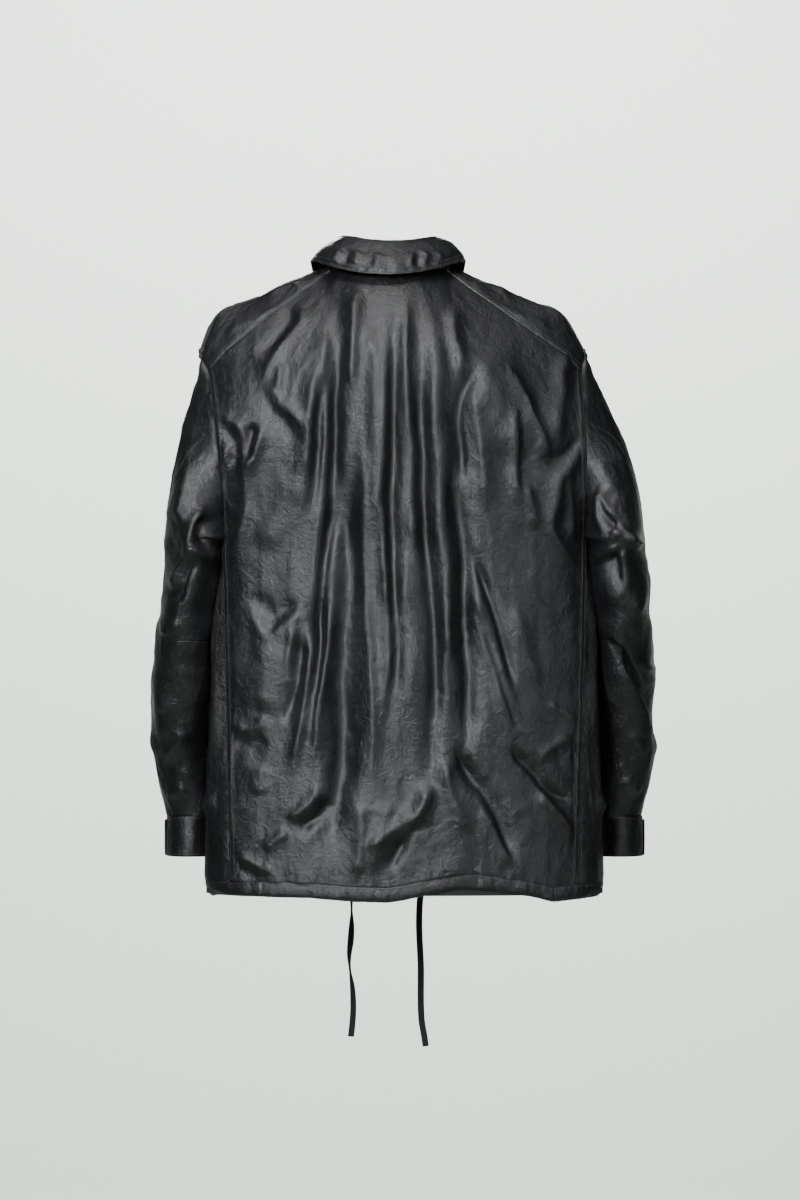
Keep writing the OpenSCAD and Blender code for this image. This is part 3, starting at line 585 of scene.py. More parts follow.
# ---------- stitches ----------
def inset_path(piece, side, distance, start=0.0, stop=1.0):
    """Points and outward directions along a line at a distance from one edge: top, low, first or last."""
    top, low, first, last = edge_runs(piece.grid)
    run = {"top": top, "low": low, "first": first, "last": last}[side]
    grid, outward = piece.grid, piece.outward
    if side in ("top", "low"):
        run, grid, outward = run.T, grid.transpose(1, 0, 2), outward.transpose(1, 0, 2)
    if side in ("low", "last"):
        run, grid, outward = run[:, ::-1], grid[:, ::-1], outward[:, ::-1]
    points, ways = [], []
    begin = int(start * len(run))
    picked = slice(begin, max(begin + 2, int(math.ceil(stop * len(run)))))
    for d, g, o in zip(run[picked], grid[picked], outward[picked]):
        j = min(max(int(np.searchsorted(d, distance)), 1), len(d) - 1)
        t = np.clip((distance - d[j - 1]) / max(d[j] - d[j - 1], 1e-6), 0, 1)
        points.append(mix(g[j - 1], g[j], t))
        ways.append(mix(o[j - 1], o[j], t))
    return np.array(points), np.array(ways)


def chart_path(piece, chart, line):
    """Points and outward directions on a piece nearest to a line drawn in its chart."""
    samples, _ = smooth_path(line, 3.0)
    flat = chart.reshape(-1, 2)
    points = piece.grid.reshape(-1, 3)
    ways = piece.outward.reshape(-1, 3)
    found, out = [], []
    for s in samples:
        d = np.hypot(*(flat - s).T)
        near = np.argpartition(d, 4)[:4]
        w = 1 / (d[near] + 0.05) ** 2
        w = w / w.sum()
        found.append(w @ points[near])
        out.append(w @ ways[near])
    return np.array(found), np.array(out)


STITCH_RINGS = ((-1.0, 0.35), (-0.62, 0.9), (0.0, 1.0), (0.62, 0.9), (1.0, 0.35))
STITCH_SIDES = 6


class Stitches:
    """Rows of thread, gathered into one mesh."""

    def __init__(self, name):
        self.name = name
        self.points = []
        self.faces = []

    def row(self, path, pitch=STITCH_PITCH, length=2.5, radius=0.42, sink=0.05):
        points, ways = path
        run = np.concatenate([[0], np.cumsum(np.linalg.norm(np.diff(points, axis=0), axis=1))])
        for s in np.arange(pitch / 2, run[-1] - pitch / 2, pitch):
            here = np.array([np.interp(s, run, points[:, c]) for c in range(3)])
            ahead = np.array([np.interp(s + 0.8, run, points[:, c]) for c in range(3)])
            up = np.array([np.interp(s, run, ways[:, c]) for c in range(3)])
            along = ahead - here
            along /= max(np.linalg.norm(along), 1e-9)
            across = np.cross(up, along)
            across /= max(np.linalg.norm(across), 1e-9)
            up = np.cross(along, across)
            base = len(self.points)
            for place, size in STITCH_RINGS:
                centre = here + along * place * length / 2 + up * (radius * 0.5 * (1 - place**2) - sink)
                for k in range(STITCH_SIDES):
                    a = 2 * math.pi * k / STITCH_SIDES
                    self.points.append(centre + radius * size * (across * math.cos(a) + up * math.sin(a)))
            rings = len(STITCH_RINGS)
            for r in range(rings - 1):
                for k in range(STITCH_SIDES):
                    n = (k + 1) % STITCH_SIDES
                    a, b = base + r * STITCH_SIDES, base + (r + 1) * STITCH_SIDES
                    self.faces.append([a + k, a + n, b + n, b + k])
            self.faces.append([base + k for k in range(STITCH_SIDES)][::-1])
            self.faces.append([base + (rings - 1) * STITCH_SIDES + k for k in range(STITCH_SIDES)])

    def build(self, material):
        obj = add_mesh(self.name, np.array(self.points), self.faces)
        obj.data.materials.append(material)
        return obj


# ---------- camera ----------
DISTANCE = 9.0         # from the middle of the jacket to the camera, in metres
BACK_Y = 0.09          # where the back of the jacket faces the camera
SEEN_HEIGHT = 1.44     # height in view there
SENSOR = 36
camera_data = bpy.data.cameras.new("camera")
camera_data.sensor_width = SENSOR
camera_data.sensor_fit = "VERTICAL"
camera_data.sensor_height = SENSOR
camera_data.lens = SENSOR * (DISTANCE - BACK_Y) / SEEN_HEIGHT
camera = bpy.data.objects.new("camera", camera_data)
camera.location = (-0.0144, DISTANCE, -0.4056)
camera.rotation_euler = (math.radians(90), 0, math.radians(180))
bpy.context.scene.collection.objects.link(camera)
bpy.context.scene.camera = camera


# ---------- materials ----------
def new_material(name):
    material = bpy.data.materials.new(name)
    material.use_nodes = True
    nodes, links = material.node_tree.nodes, material.node_tree.links
    nodes.clear()
    out = nodes.new("ShaderNodeOutputMaterial")
    shader = nodes.new("ShaderNodeBsdfPrincipled")
    links.new(shader.outputs[0], out.inputs["Surface"])
    return material, nodes, links, shader


def ramp(nodes, links, factor, stops):
    """A colour ramp over factor. stops are (place, grey or colour)."""
    node = nodes.new("ShaderNodeValToRGB")
    elements = node.color_ramp.elements
    while len(elements) < len(stops):
        elements.new(0.5)
    for element, (place, value) in zip(elements, stops):
        element.position = place
        element.color = (*value, 1) if isinstance(value, tuple) else (value, value, value, 1)
    links.new(factor, node.inputs[0])
    return node.outputs[0]


def texture(nodes, links, kind, scale, coords, **settings):
    node = nodes.new(kind)
    node.inputs["Scale"].default_value = scale
    for key, value in settings.items():
        node.inputs[key.replace("_", " ")].default_value = value
    links.new(coords, node.inputs["Vector"])
    return node


def bump(nodes, links, height, strength, distance, under=None):
    node = nodes.new("ShaderNodeBump")
    node.inputs["Strength"].default_value = strength
    node.inputs["Distance"].default_value = distance
    links.new(height, node.inputs["Height"])
    if under:
        links.new(under, node.inputs["Normal"])
    return node.outputs[0]


def make_leather():
    """Black leather: a fine pebble grain, soft wrinkles, patches of wear and slightly uneven shine."""
    material, nodes, links, shader = new_material("black_leather")
    coords = nodes.new("ShaderNodeTexCoord").outputs["Object"]
    grain = texture(nodes, links, "ShaderNodeTexVoronoi", 900, coords)
    grain.feature = "DISTANCE_TO_EDGE"
    fine = texture(nodes, links, "ShaderNodeTexNoise", 2600, coords, Detail=3)
    wrinkle = texture(nodes, links, "ShaderNodeTexNoise", 95, coords, Detail=8, Roughness=0.62,
                      Distortion=1.1)
    patch = texture(nodes, links, "ShaderNodeTexNoise", 16, coords, Detail=5, Roughness=0.55)
    blacks = [(0.30, (0.004, 0.0042, 0.0050)), (0.55, (0.006, 0.0062, 0.0072)),
              (0.75, (0.011, 0.0112, 0.0122))]
    colour = ramp(nodes, links, patch.outputs[0], blacks)
    links.new(colour, shader.inputs["Base Color"])
    shine = ramp(nodes, links, patch.outputs[0], [(0.25, 0.29), (0.55, 0.36), (0.80, 0.45)])
    links.new(shine, shader.inputs["Roughness"])
    pebbles = ramp(nodes, links, grain.outputs[0], [(0.0, 0.0), (0.28, 0.85), (1.0, 1.0)])
    low = bump(nodes, links, wrinkle.outputs[0], 0.60, 0.0022)
    mid = bump(nodes, links, pebbles, 0.55, 0.00022, low)
    top = bump(nodes, links, fine.outputs[0], 0.10, 0.00006, mid)
    links.new(top, shader.inputs["Normal"])
    shader.inputs["Specular IOR Level"].default_value = 0.45
    return material


def make_cloth(name, base, weave, roughness=0.9, strength=0.5):
    """Woven fabric: threads both ways, with a little unevenness in tone."""
    material, nodes, links, shader = new_material(name)
    coords = nodes.new("ShaderNodeTexCoord").outputs["Object"]
    wave_a = texture(nodes, links, "ShaderNodeTexWave", weave, coords, Distortion=0.4)
    wave_b = texture(nodes, links, "ShaderNodeTexWave", weave, coords, Distortion=0.4)
    wave_a.bands_direction = "Z"
    wave_b.bands_direction = "X"
    cross = nodes.new("ShaderNodeMath")
    cross.operation = "MAXIMUM"
    links.new(wave_a.outputs["Fac"], cross.inputs[0])
    links.new(wave_b.outputs["Fac"], cross.inputs[1])
    tone = texture(nodes, links, "ShaderNodeTexNoise", 60, coords, Detail=4)
    colour = ramp(nodes, links, tone.outputs[0], [(0.3, tuple(0.75 * c for c in base)), (0.7, base)])
    links.new(colour, shader.inputs["Base Color"])
    shader.inputs["Roughness"].default_value = roughness
    links.new(bump(nodes, links, cross.outputs[0], strength, 0.0004), shader.inputs["Normal"])
    return material


def make_thread():
    material, nodes, links, shader = new_material("thread")
    coords = nodes.new("ShaderNodeTexCoord").outputs["Object"]
    tone = texture(nodes, links, "ShaderNodeTexNoise", 300, coords, Detail=2)
    links.new(ramp(nodes, links, tone.outputs[0], [(0.3, 0.012), (0.7, 0.030)]), shader.inputs["Base Color"])
    shader.inputs["Roughness"].default_value = 0.55
    twist = texture(nodes, links, "ShaderNodeTexNoise", 2400, coords, Detail=2)
    links.new(bump(nodes, links, twist.outputs[0], 0.4, 0.0002), shader.inputs["Normal"])
    return material


def make_metal(name, base, metallic, low, high):
    """Plated or painted metal with fine scuffs."""
    material, nodes, links, shader = new_material(name)
    coords = nodes.new("ShaderNodeTexCoord").outputs["Object"]
    scuff = texture(nodes, links, "ShaderNodeTexNoise", 420, coords, Detail=6, Roughness=0.7)
    links.new(ramp(nodes, links, scuff.outputs[0], [(0.35, low), (0.70, high)]), shader.inputs["Roughness"])
    bright = tuple(min(1, 1.4 * c) for c in base)
    tone = ramp(nodes, links, scuff.outputs[0], [(0.30, base), (0.80, bright)])
    links.new(tone, shader.inputs["Base Color"])
    shader.inputs["Metallic"].default_value = metallic
    links.new(bump(nodes, links, scuff.outputs[0], 0.15, 0.0001), shader.inputs["Normal"])
    return material


LEATHER_SKIN = make_leather()
LINING = make_cloth("black_lining", (0.020, 0.020, 0.023), 900, 0.85, 0.3)
TAPE = make_cloth("woven_tape", (0.016, 0.016, 0.017), 620, 0.88, 0.8)
THREAD = make_thread()
SNAP_PAINT = make_metal("snap_paint", (0.014, 0.014, 0.015), 0.0, 0.25, 0.45)
STEEL = make_metal("snap_steel", (0.30, 0.30, 0.31), 1.0, 0.22, 0.42)
EYELET = make_metal("eyelet_black", (0.030, 0.030, 0.032), 1.0, 0.25, 0.45)
BOTH_SIDES = (LEATHER_SKIN, LINING)


def swings(obj, a, b, start, end):
    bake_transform(obj)


def at_crease(hand):
    """Where a front starts and ends its turn, across the crease that it opens along."""
    way = np.array([-hand * 0.9729, 0, -0.2312])
    start = np.array([hand * 101.0, -110.0, -432.0])
    return start, start + 40 * way


def sewn(piece, thickness, materials, body, nodes):
    """Builds a piece as a closed sheet: attached to its body where body is a name; where body is a tuple, as
    swings takes it, only its transform is baked in.
    """
    obj = solid_sheet(piece, thickness, materials)
    if isinstance(body, tuple):
        swings(obj, *body)
    else:
        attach(obj, body)
    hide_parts(*nodes)
    return obj


def opening(name, hand):
    """The two bodies and places on the crease, as swings takes them, for whatever opens with a front."""
    return ("jacket_body", f"{name}_front", *at_crease(hand))


SIDES = (("left", 1), ("right", -1))


# ---------- back ----------
def back_base():
    across = 2 * spread(2 * SEAM_TOP) - 1
    down = spread(BODY_LENGTH)
    s, t = np.meshgrid(across, down)
    top = back_top_z(s * ARMHOLE) - 0.5
    z = mix(top, PANEL_LOW, t)
    x = s * back_half(z)
    return np.stack([x + lean(z), depth_at(x, z), z], -1)


def lifted_hem(grid):
    """Follows the hem's own uneven line on the back."""
    out = grid.copy()
    share = ease((-600 - grid[..., 2]) / 150) * ease(grid[..., 1] / 40)
    out[..., 2] += hem_wave(grid[..., 0]) * share
    return out


def hem_ripple(base, low, size, seed):
    """Upright puckers above the hem."""
    x = base[..., 0]
    return noise(np.stack([x, low, 0 * x], -1), size, seed)


def back_height(base):
    top, low, first, last = edge_runs(base)
    calm = ease(np.minimum(first, last) / 22) * 0.94 + 0.06
    calm = calm * mix(0.55, 1, ease(low / 26)) * mix(0.6, 1, ease(top / 16))
    height = 1.2 * folds(base[..., [0, 2]], BACK_FOLDS, base) * calm + leather_relief(base)
    height += seam_shape(first, base[..., 2], 21, raised=0.9)
    height += seam_shape(last, base[..., 2], 23, raised=0.9)
    height -= 1.0 * np.exp(-((top / 5) ** 2))
    ripple = hem_ripple(base, low, (7, 40, 9), 31)
    ripple += 0.8 * hem_ripple(base, low, (15, 60, 9), 33)
    return height + 0.8 * ripple * np.exp(-((low / 22) ** 2)) - 0.5 * np.exp(-((low / 1.5) ** 2))


def make_back():
    base = lifted_hem(back_base())
    height = back_height(base)
    piece = Piece("back_leather", base, height)
    sewn(piece, LEATHER, BOTH_SIDES, "jacket_body", ["back_panel"])
    inside = (slice(4, -6, 2), slice(6, -6, 2))
    lining = Piece("back_lining_cloth", base[inside], height[inside] * 0.9 - 3.6)
    sewn(lining, 0.5, (LINING,), "jacket_body", ["back_lining"])
    return piece


# ---------- sides ----------
def ring_point(angle, z, drop):
    """A point round the body's cross-section. Angle 0 is the front, 90 the side and 180 the back."""
    half, depth = body_half(z) - drop, body_depth(z) - drop
    power = 2 / SQUARENESS
    s, c = np.sin(np.radians(angle)), np.cos(np.radians(angle))
    x = half * np.abs(s) ** power * np.sign(s)
    y = -np.sign(c) * depth * np.abs(c) ** power
    return np.stack([x, y, z + 0 * angle], -1)


def make_side(name, hand):
    down = spread(404, 10, 12)
    z = mix(PIT_Z - 2, PANEL_LOW, down)
    seam = np.degrees(np.arcsin((back_half(z) / body_half(z)) ** (SQUARENESS / 2)))
    across = spread(170, 10, 10, 2.6)
    a = seam[:, None] - 2.2 + (180 - 2 * seam[:, None] + 4.4) * across[None, :]
    zz = np.repeat(z[:, None], len(across), 1)
    flat = ring_point(a, zz, 0)
    flat[..., 0] *= hand
    flat[..., 0] += lean(zz)
    base = lifted_hem(flat)
    top, low, first, last = edge_runs(base)
    edge = np.minimum(first, last)
    height = leather_relief(base) - 2.0 * np.exp(-((edge / 7.5) ** 2)) - 0.9 * np.exp(-((edge / 12) ** 2))
    p = np.stack([zz, edge, 0 * zz], -1)
    height += 0.6 * noise(p, (6, 30, 9), 51) * np.exp(-((edge / 26) ** 2))
    chart = np.stack([base[..., 1], zz], -1)
    lines = [(5, 12, 10, 0.4, [(-30, -360), (-22, -430), (-26, -520), (-18, -620)]),
             (-5, 10, 10, 0.2, [(0, -380), (8, -460), (2, -560), (8, -700)]),
             (5, 10, 12, 0.5, [(36, -352), (30, -440), (38, -540), (34, -640), (40, -730)]),
             (5, 10, 9, 0.5, [(-50, -620), (-20, -650), (20, -655), (50, -640)])]
    height += folds(chart, lines) * ease(edge / 20) * ease(low / 16)
    piece = Piece(f"{name}_side_leather", base, height)
    sewn(piece, LEATHER, BOTH_SIDES, "jacket_body", [f"{name}_side_panel"])


# ---------- fronts ----------
def under_in(hand, x):
    """How far behind the left front the right one's lap lies."""
    return 0 * x if hand > 0 else UNDER_LAP * ease((x + 28) / 14)


def free_edge(z):
    """How far a front reaches past the middle, less towards the neck."""
    return LAP * ease((-108 - z) / 200 + 0.5)


def front_base(hand):
    down = spread(680, 14, 12)
    across = spread(240, 14, 14)
    s, t = np.meshgrid(across, down)
    guess = front_top_z(mix(0, ARMHOLE, s))
    top = front_top_z(mix(-hand * free_edge(guess), hand * ARMHOLE, s)) - 0.5
    z = mix(top, PANEL_LOW, t)
    inner = -hand * free_edge(z) - lean(z)
    x = mix(inner, hand * back_half(z), s)
    world = x + lean(z)
    y = -depth_at(x, z) + under_in(hand, world)
    return np.stack([world, y, z], -1)


def welt_frame(hand):
    """The pocket mouth's middle line, from its upper to its lower end."""
    return np.array([hand * 70.0, -470.0]), np.array([hand * 108.0, -606.0])


def make_front(name, hand):
    base = front_base(hand)
    chart = base[..., [0, 2]]
    top, low, first, last = edge_runs(base)
    strokes = LEFT_FRONT_FOLDS if hand > 0 else RIGHT_FRONT_FOLDS
    calm = ease(first / 50) * ease(last / 22) * mix(0.4, 1, ease(low / 26)) * ease(top / 20)
    a, b = welt_frame(hand)
    along = (b - a) / np.linalg.norm(b - a)
    off = chart - a
    run = off @ along
    gap = np.abs(off[..., 0] * along[1] - off[..., 1] * along[0])
    beyond = np.maximum(np.maximum(-run, run - np.linalg.norm(b - a)), 0)
    calm = calm * mix(0.25, 1, ease((np.hypot(gap, beyond) - 10) / 24))
    height = folds(chart, strokes, base) * calm + leather_relief(base) * mix(0.6, 1, ease(first / 40))
    z = base[..., 2]
    height += seam_shape(first, z, 41, raised=0.8, lines=(4.0, 30.0), pucker=0.3)
    height += seam_shape(last, z, 43, raised=0.9)
    height -= 1.2 * np.exp(-((top / 5) ** 2))
    height += 0.7 * hem_ripple(base, low, (8, 40, 9), 36) * np.exp(-((low / 22) ** 2))
    piece = Piece(f"{name}_front_leather", base, height)
    nodes = [f"{name}_front_panel", f"{name}_front_flap"]
    sewn(piece, LEATHER, BOTH_SIDES, opening(name, hand), nodes)
    return piece, base, height


def inside_layer(piece_name, base, height, hand, box, depth):
    """A layer behind a front, cut from its grid by box = (x low, x high, z low, z high) from the middle."""
    x = base[..., 0] * hand
    z = base[..., 2]
    cols = np.where((x.mean(0) > box[0]) & (x.mean(0) < box[1]))[0]
    rows = np.where((z.mean(1) > box[2]) & (z.mean(1) < box[3]))[0]
    picked = (slice(rows[0], rows[-1] + 1, 2), slice(cols[0], cols[-1] + 1, 2))
    return Piece(piece_name, base[picked], height[picked] - depth)


def make_front_insides(name, hand, base, height):
    body = opening(name, hand)
    lining = inside_layer(f"{name}_front_lining_cloth", base, height, hand, (26, 190, -735, -200), 5.0)
    sewn(lining, 0.5, (LINING,), body, [f"{name}_front_lining"])
    facing = inside_layer(f"{name}_facing_leather", base, height, hand, (-11, 30, -745, -112), 2.2)
    sewn(facing, 1.2, (LEATHER_SKIN,), body, [f"{name}_placket_facing"])
    pocket = inside_layer(f"{name}_pocket_cloth", base, height, hand, (45, 140, -670, -480), 3.0)
    sewn(pocket, 0.6, (LINING,), body, [f"{name}_pocket_bag"])


def make_welt(name, hand, front, stitches):
    a, b = welt_frame(hand)
    way = (b - a) / np.linalg.norm(b - a)
    side = np.array([-way[1], way[0]])
    v = spread(144, 6, 6, 2.0)
    u = spread(18, 4, 4, 1.6)
    flat = a[None, None] + way * (v[:, None, None] * 152 - 4) + side * ((u[None, :, None] - 0.5) * 19)
    points = front.grid.reshape(-1, 3)
    z = flat[..., 1]
    x = flat[..., 0] - lean(z)
    y = -depth_at(x, z)
    mid = np.stack([flat[..., 0], y, z], -1)
    near = np.abs(points[:, 2] + 538) < 90
    points = points[near & (np.abs(points[:, 0] - hand * 89) < 50)]
    for i in range(mid.shape[0]):
        for j in range(mid.shape[1]):
            d = np.hypot(points[:, 0] - mid[i, j, 0], points[:, 2] - mid[i, j, 2])
            k = np.argpartition(d, 6)[:6]
            mid[i, j, 1] = points[k, 1].mean() - 0.25
    top, low, first, last = edge_runs(mid)
    edge = np.minimum(np.minimum(top, low), np.minimum(first, last))
    height = 2.4 * ease(edge / 1.6) + 0.25 * noise(mid, (9, 9, 9), 61)
    height -= 0.35 * np.exp(-(((edge - 2.6) / 0.8) ** 2))
    mouth = ease((v[:, None] - 0.02) / 0.03) * ease((0.98 - v[:, None]) / 0.03)
    height -= 1.4 * np.exp(-(((u[None, :] - 0.5) * 18 / 0.8) ** 2)) * mouth
    piece = Piece(f"{name}_welt_leather", mid, height)
    sewn(piece, 1.2, (LEATHER_SKIN,), opening(name, hand), [f"{name}_pocket_welt"])
    for edge_name in ("first", "last"):
        stitches.row(inset_path(piece, edge_name, 2.6, 0.02, 0.98))
    for edge_name in ("top", "low"):
        stitches.row(inset_path(piece, edge_name, 2.6, 0.1, 0.9))


# ---------- hem ----------
# The hem's section, as (outward, above the hem's lower edge), from its outer top round to its inner top.
HEM_PROFILE = [(0, 17.6), (0.3, 16), (0.5, 13), (0.5, 9), (0.4, 5), (0, 2.4), (-1, 0.7),
               (-2.2, 0), (-3.8, 0), (-5, 0.7), (-5.9, 2.4), (-6.2, 6), (-6.2, 11), (-6, 16)]


def hem_section(points_of, name, count):
    """A strip folded round the drawstring, laid along points_of(share, inward, above the hem)."""
    rows = []
    for out, up in HEM_PROFILE:
        rows.append(points_of(np.linspace(0, 1, count), -out, HEM_Z + up + 0 * np.linspace(0, 1, count)))
    base = lifted_hem(np.array(rows))
    x = np.repeat(base[:1, :, 0], len(rows), 0) + np.repeat(base[:1, :, 1], len(rows), 0) * 0.7
    down = np.repeat(np.arange(len(rows))[:, None], count, 1)
    p = np.stack([x, down * 1.0, 0 * x], -1)
    face = np.exp(-(((down - 3.0) / 3.4) ** 2))
    height = face * (0.75 * noise(p, (6, 5, 9), 71) + 0.7 * noise(p, (13, 9, 9), 72) + 0.6)
    height -= 0.5 * np.exp(-(((down - 1.2) / 0.8) ** 2))
    joins = np.abs((x + 7) % 88 - 44)
    height -= 0.7 * np.exp(-((joins / 0.9) ** 2)) * (down < 8)
    return Piece(name, base, height)


def body_hem(share, drop, z):
    start = 200.0
    left = np.degrees(np.arcsin(((start + LEAN) / HEM_HALF) ** (SQUARENESS / 2)))
    right = np.degrees(np.arcsin(((start - LEAN) / HEM_HALF) ** (SQUARENESS / 2)))
    angle = mix(left, 360 - right, share)
    p = ring_point(angle, z, drop)
    p[..., 0] += lean(z)
    return p


def front_hem(hand):
    def points(share, drop, z):
        world = mix(-hand * LAP, hand * 201, share)
        x = world - lean(z)
        y = -depth_at(x, z) + drop + under_in(hand, world)
        return np.stack([world, y, z], -1)
    return points


def make_hems(threads):
    piece = hem_section(body_hem, "back_hem_leather", 560)
    sewn(piece, 1.2, (LEATHER_SKIN,), "jacket_body", ["back_hem_band"])
    threads["jacket_body"].row(inset_path(piece, "top", 2.4))
    for name, hand in SIDES:
        piece = hem_section(front_hem(hand), f"{name}_hem_leather", 210)
        sewn(piece, 1.2, (LEATHER_SKIN,), opening(name, hand), [f"{name}_hem_band"])
        threads[f"{name}_front"].row(inset_path(piece, "top", 2.4))


# ---------- shoulder saddles ----------
def make_saddle(name, hand, stitches):
    along = spread(170, 8, 10, 2.6)
    x = mix(NECK_HALF - 3, ARMHOLE + 1.5, along)
    across = spread(180, 12, 12, 2.4)
    angle = math.pi * across
    low = saddle_z(x) - 5
    ridge, fall = ridge_z(x), head_top(x)
    share = np.clip(0.5 + (fall - ridge) / 36, 0, 1)
    high = mix(fall, ridge, share) - 18 * share * (1 - share) + 7.5 * np.exp(-(((x - 206) / 24) ** 2))
    z = mix(low[:, None], high[:, None], np.sin(angle)[None, :])
    xx = np.repeat(x[:, None], len(across), 1)
    y = np.cos(angle)[None, :] / np.maximum(np.abs(np.cos(angle)), 1e-6)[None, :] * depth_at(xx, z)
    y = np.where(np.abs(np.cos(angle))[None, :] < 1e-6, 0, y)
    base = np.stack([hand * xx + lean(z), y, z], -1)
    top, end, first, last = edge_runs(base)
    edge = np.minimum(first, last)
    height = leather_relief(base, 0.8) + 0.7 * ease(edge / 1.2) * ease(end / 14)
    height -= 2.2 * np.exp(-((end / 7) ** 2))
    height += seam_shape(first, base[..., 0], 81, raised=0.9) + seam_shape(last, base[..., 0], 83, raised=0.9)
    chart = base[..., [0, 1]]
    lines = [(3, 9, 9, 0.4, [(hand * 96, 30), (hand * 120, 10), (hand * 150, 6)]),
             (-3, 8, 8, 0.2, [(hand * 110, -30), (hand * 140, -24), (hand * 180, -10)]),
             (3, 8, 8, 0.5, [(hand * 130, 40), (hand * 160, 30), (hand * 190, 20)])]
    height += folds(chart, lines) * ease(edge / 14)
    piece = Piece(f"{name}_saddle_leather", base, height)
    sewn(piece, LEATHER, BOTH_SIDES, "jacket_body", [f"{name}_shoulder_saddle"])
    for d in (2.5, 8.5):
        stitches.row(inset_path(piece, "first", d))
        stitches.row(inset_path(piece, "last", d))


# ---------- sleeves ----------
def sleeve_out(z):
    mid = mix(292, 308, ease((PIT_Z - z) / 190))
    low = mix(308, 278, ease((-560 - z) / 190))
    return np.where(z > PIT_Z, head_half(z), np.where(z > -560, mid, low))


def sleeve_in(z):
    upper = mix(242, ARMHOLE, ease((z - PIT_Z + 2) / 150))
    return np.where(z > PIT_Z - 2, upper, mix(242, 232, ease((-560 - z) / 150)))


def sleeve_y(z):
    return mix(0, -84, ease((-330 - z) / 400))


def armhole_y(z):
    return np.where(z < PIT_Z, 0, depth_at(ARMHOLE, z))


def sleeve_deep(z):
    top = mix(84, armhole_y(-127), ease((z - PIT_Z) / 213) ** 0.8)
    top = top * np.sqrt(np.clip(1 - (np.clip(z + 127, 0, None) / 25) ** 2, 0.05, 1))
    return np.where(z > PIT_Z, top, mix(84, 48, ease((PIT_Z - 20 - z) / 340)))


def sleeve_point(z, angle):
    a = np.radians(angle)
    out, inner = sleeve_out(z), sleeve_in(z)
    x = (out + inner) / 2 + (out - inner) / 2 * np.cos(a)
    return np.stack([x, sleeve_y(z) + sleeve_deep(z) * np.sin(a), z], -1)


def sleeve_base(hand):
    """The whole sleeve as one grid: open above the armpit, where its edges meet the armhole, closed below."""
    z = mix(SLEEVE_TOP, SLEEVE_LOW, spread(583, 8, 8, 2.6))
    z = np.sort(np.append(z, [SLEEVE_CUT]))[::-1]
    s = 2 * spread(330, 10, 10, 2.8) - 1
    ss, zz = np.meshgrid(s, z)
    reach = mix(90, 180, ease((NARROW_Z - zz) / 150))
    p = sleeve_point(zz, ss * reach)
    e = sleeve_point(zz, np.sign(ss) * reach)
    tuck = back_half(zz) - 4.5
    goal = np.stack([tuck, np.sign(ss) * np.maximum(depth_at(tuck, zz) - 2.4, 0.5), zz], -1)
    pull = (np.abs(ss) ** 3)[..., None] * (zz > PIT_Z)[..., None] * ease((zz - PIT_Z) / 12)[..., None]
    p = p + (goal - e) * pull
    inner = (1 - np.cos(np.radians(ss * reach))) / 2
    fuller = 4 * ease((-100 - zz) / 26) * ease((zz + 330) / 120)
    p[..., 0] += (1 - inner) * (fuller - 1.0 * ease((zz + 124) / 12))
    p[..., 0] -= inner * mix(21, 13, ease((PIT_Z - zz) / 110)) * ease((-326 - zz) / 14)
    p[..., 0] = hand * p[..., 0] + lean(zz)
    return p, ss, zz


def sleeve_height(name, base, ss, zz):
    chart = base[..., [0, 2]]
    top, low, first, last = edge_runs(base)
    edge = np.where(zz > PIT_Z, np.minimum(first, last), 60)
    backward = ease(0.5 + 2.2 * ss)
    back_lines, front_lines = SLEEVE_FOLDS[name]
    height = folds(chart, back_lines, base) * backward + folds(chart, front_lines, base) * (1 - backward)
    height = height * mix(0.2, 1, ease(edge / 12)) * mix(0.3, 1, ease(low / 14)) * mix(0.3, 1, ease(top / 12))
    height += leather_relief(base) * mix(0.6, 1, ease(low / 20))
    height -= 1.8 * np.exp(-((edge / 6) ** 2))
    p = np.stack([zz, edge, 0 * zz], -1)
    height += 0.7 * noise(p, (5.5, 30, 9), 91) * np.exp(-((edge / 20) ** 2))
    hem = np.stack([ss * 160, low, 0 * zz], -1)
    height += 0.8 * noise(hem, (9, 40, 9), 93) * np.exp(-((low / 18) ** 2))
    height -= 0.5 * np.exp(-((low / 2.0) ** 2))
    gathers = np.stack([ss * 160, zz, 0 * zz], -1)
    share = ease((zz + 640) / 60) * ease((-300 - zz) / 60)
    height += 1.6 * noise(gathers, (46, 20, 9), 95) * share
    return height


def sleeve_seam(height, base, line):
    """A seam across a sleeve: a groove with a raised layer on its lower side."""
    chart = base[..., [0, 2]]
    return height + fold(chart, -1.3, 1.3, 1.3, 0, line, 0.02) + fold(chart, 0.8, 7, 1.5, 0.0, line, 0.05)


CROSS_SEAM = {"left": [(218, -206), (232, -219), (240, -228), (248, -244), (254, -262)],
              "right": [(-243, -197), (-252, -200), (-263, -205), (-276, -218), (-288, -238)]}


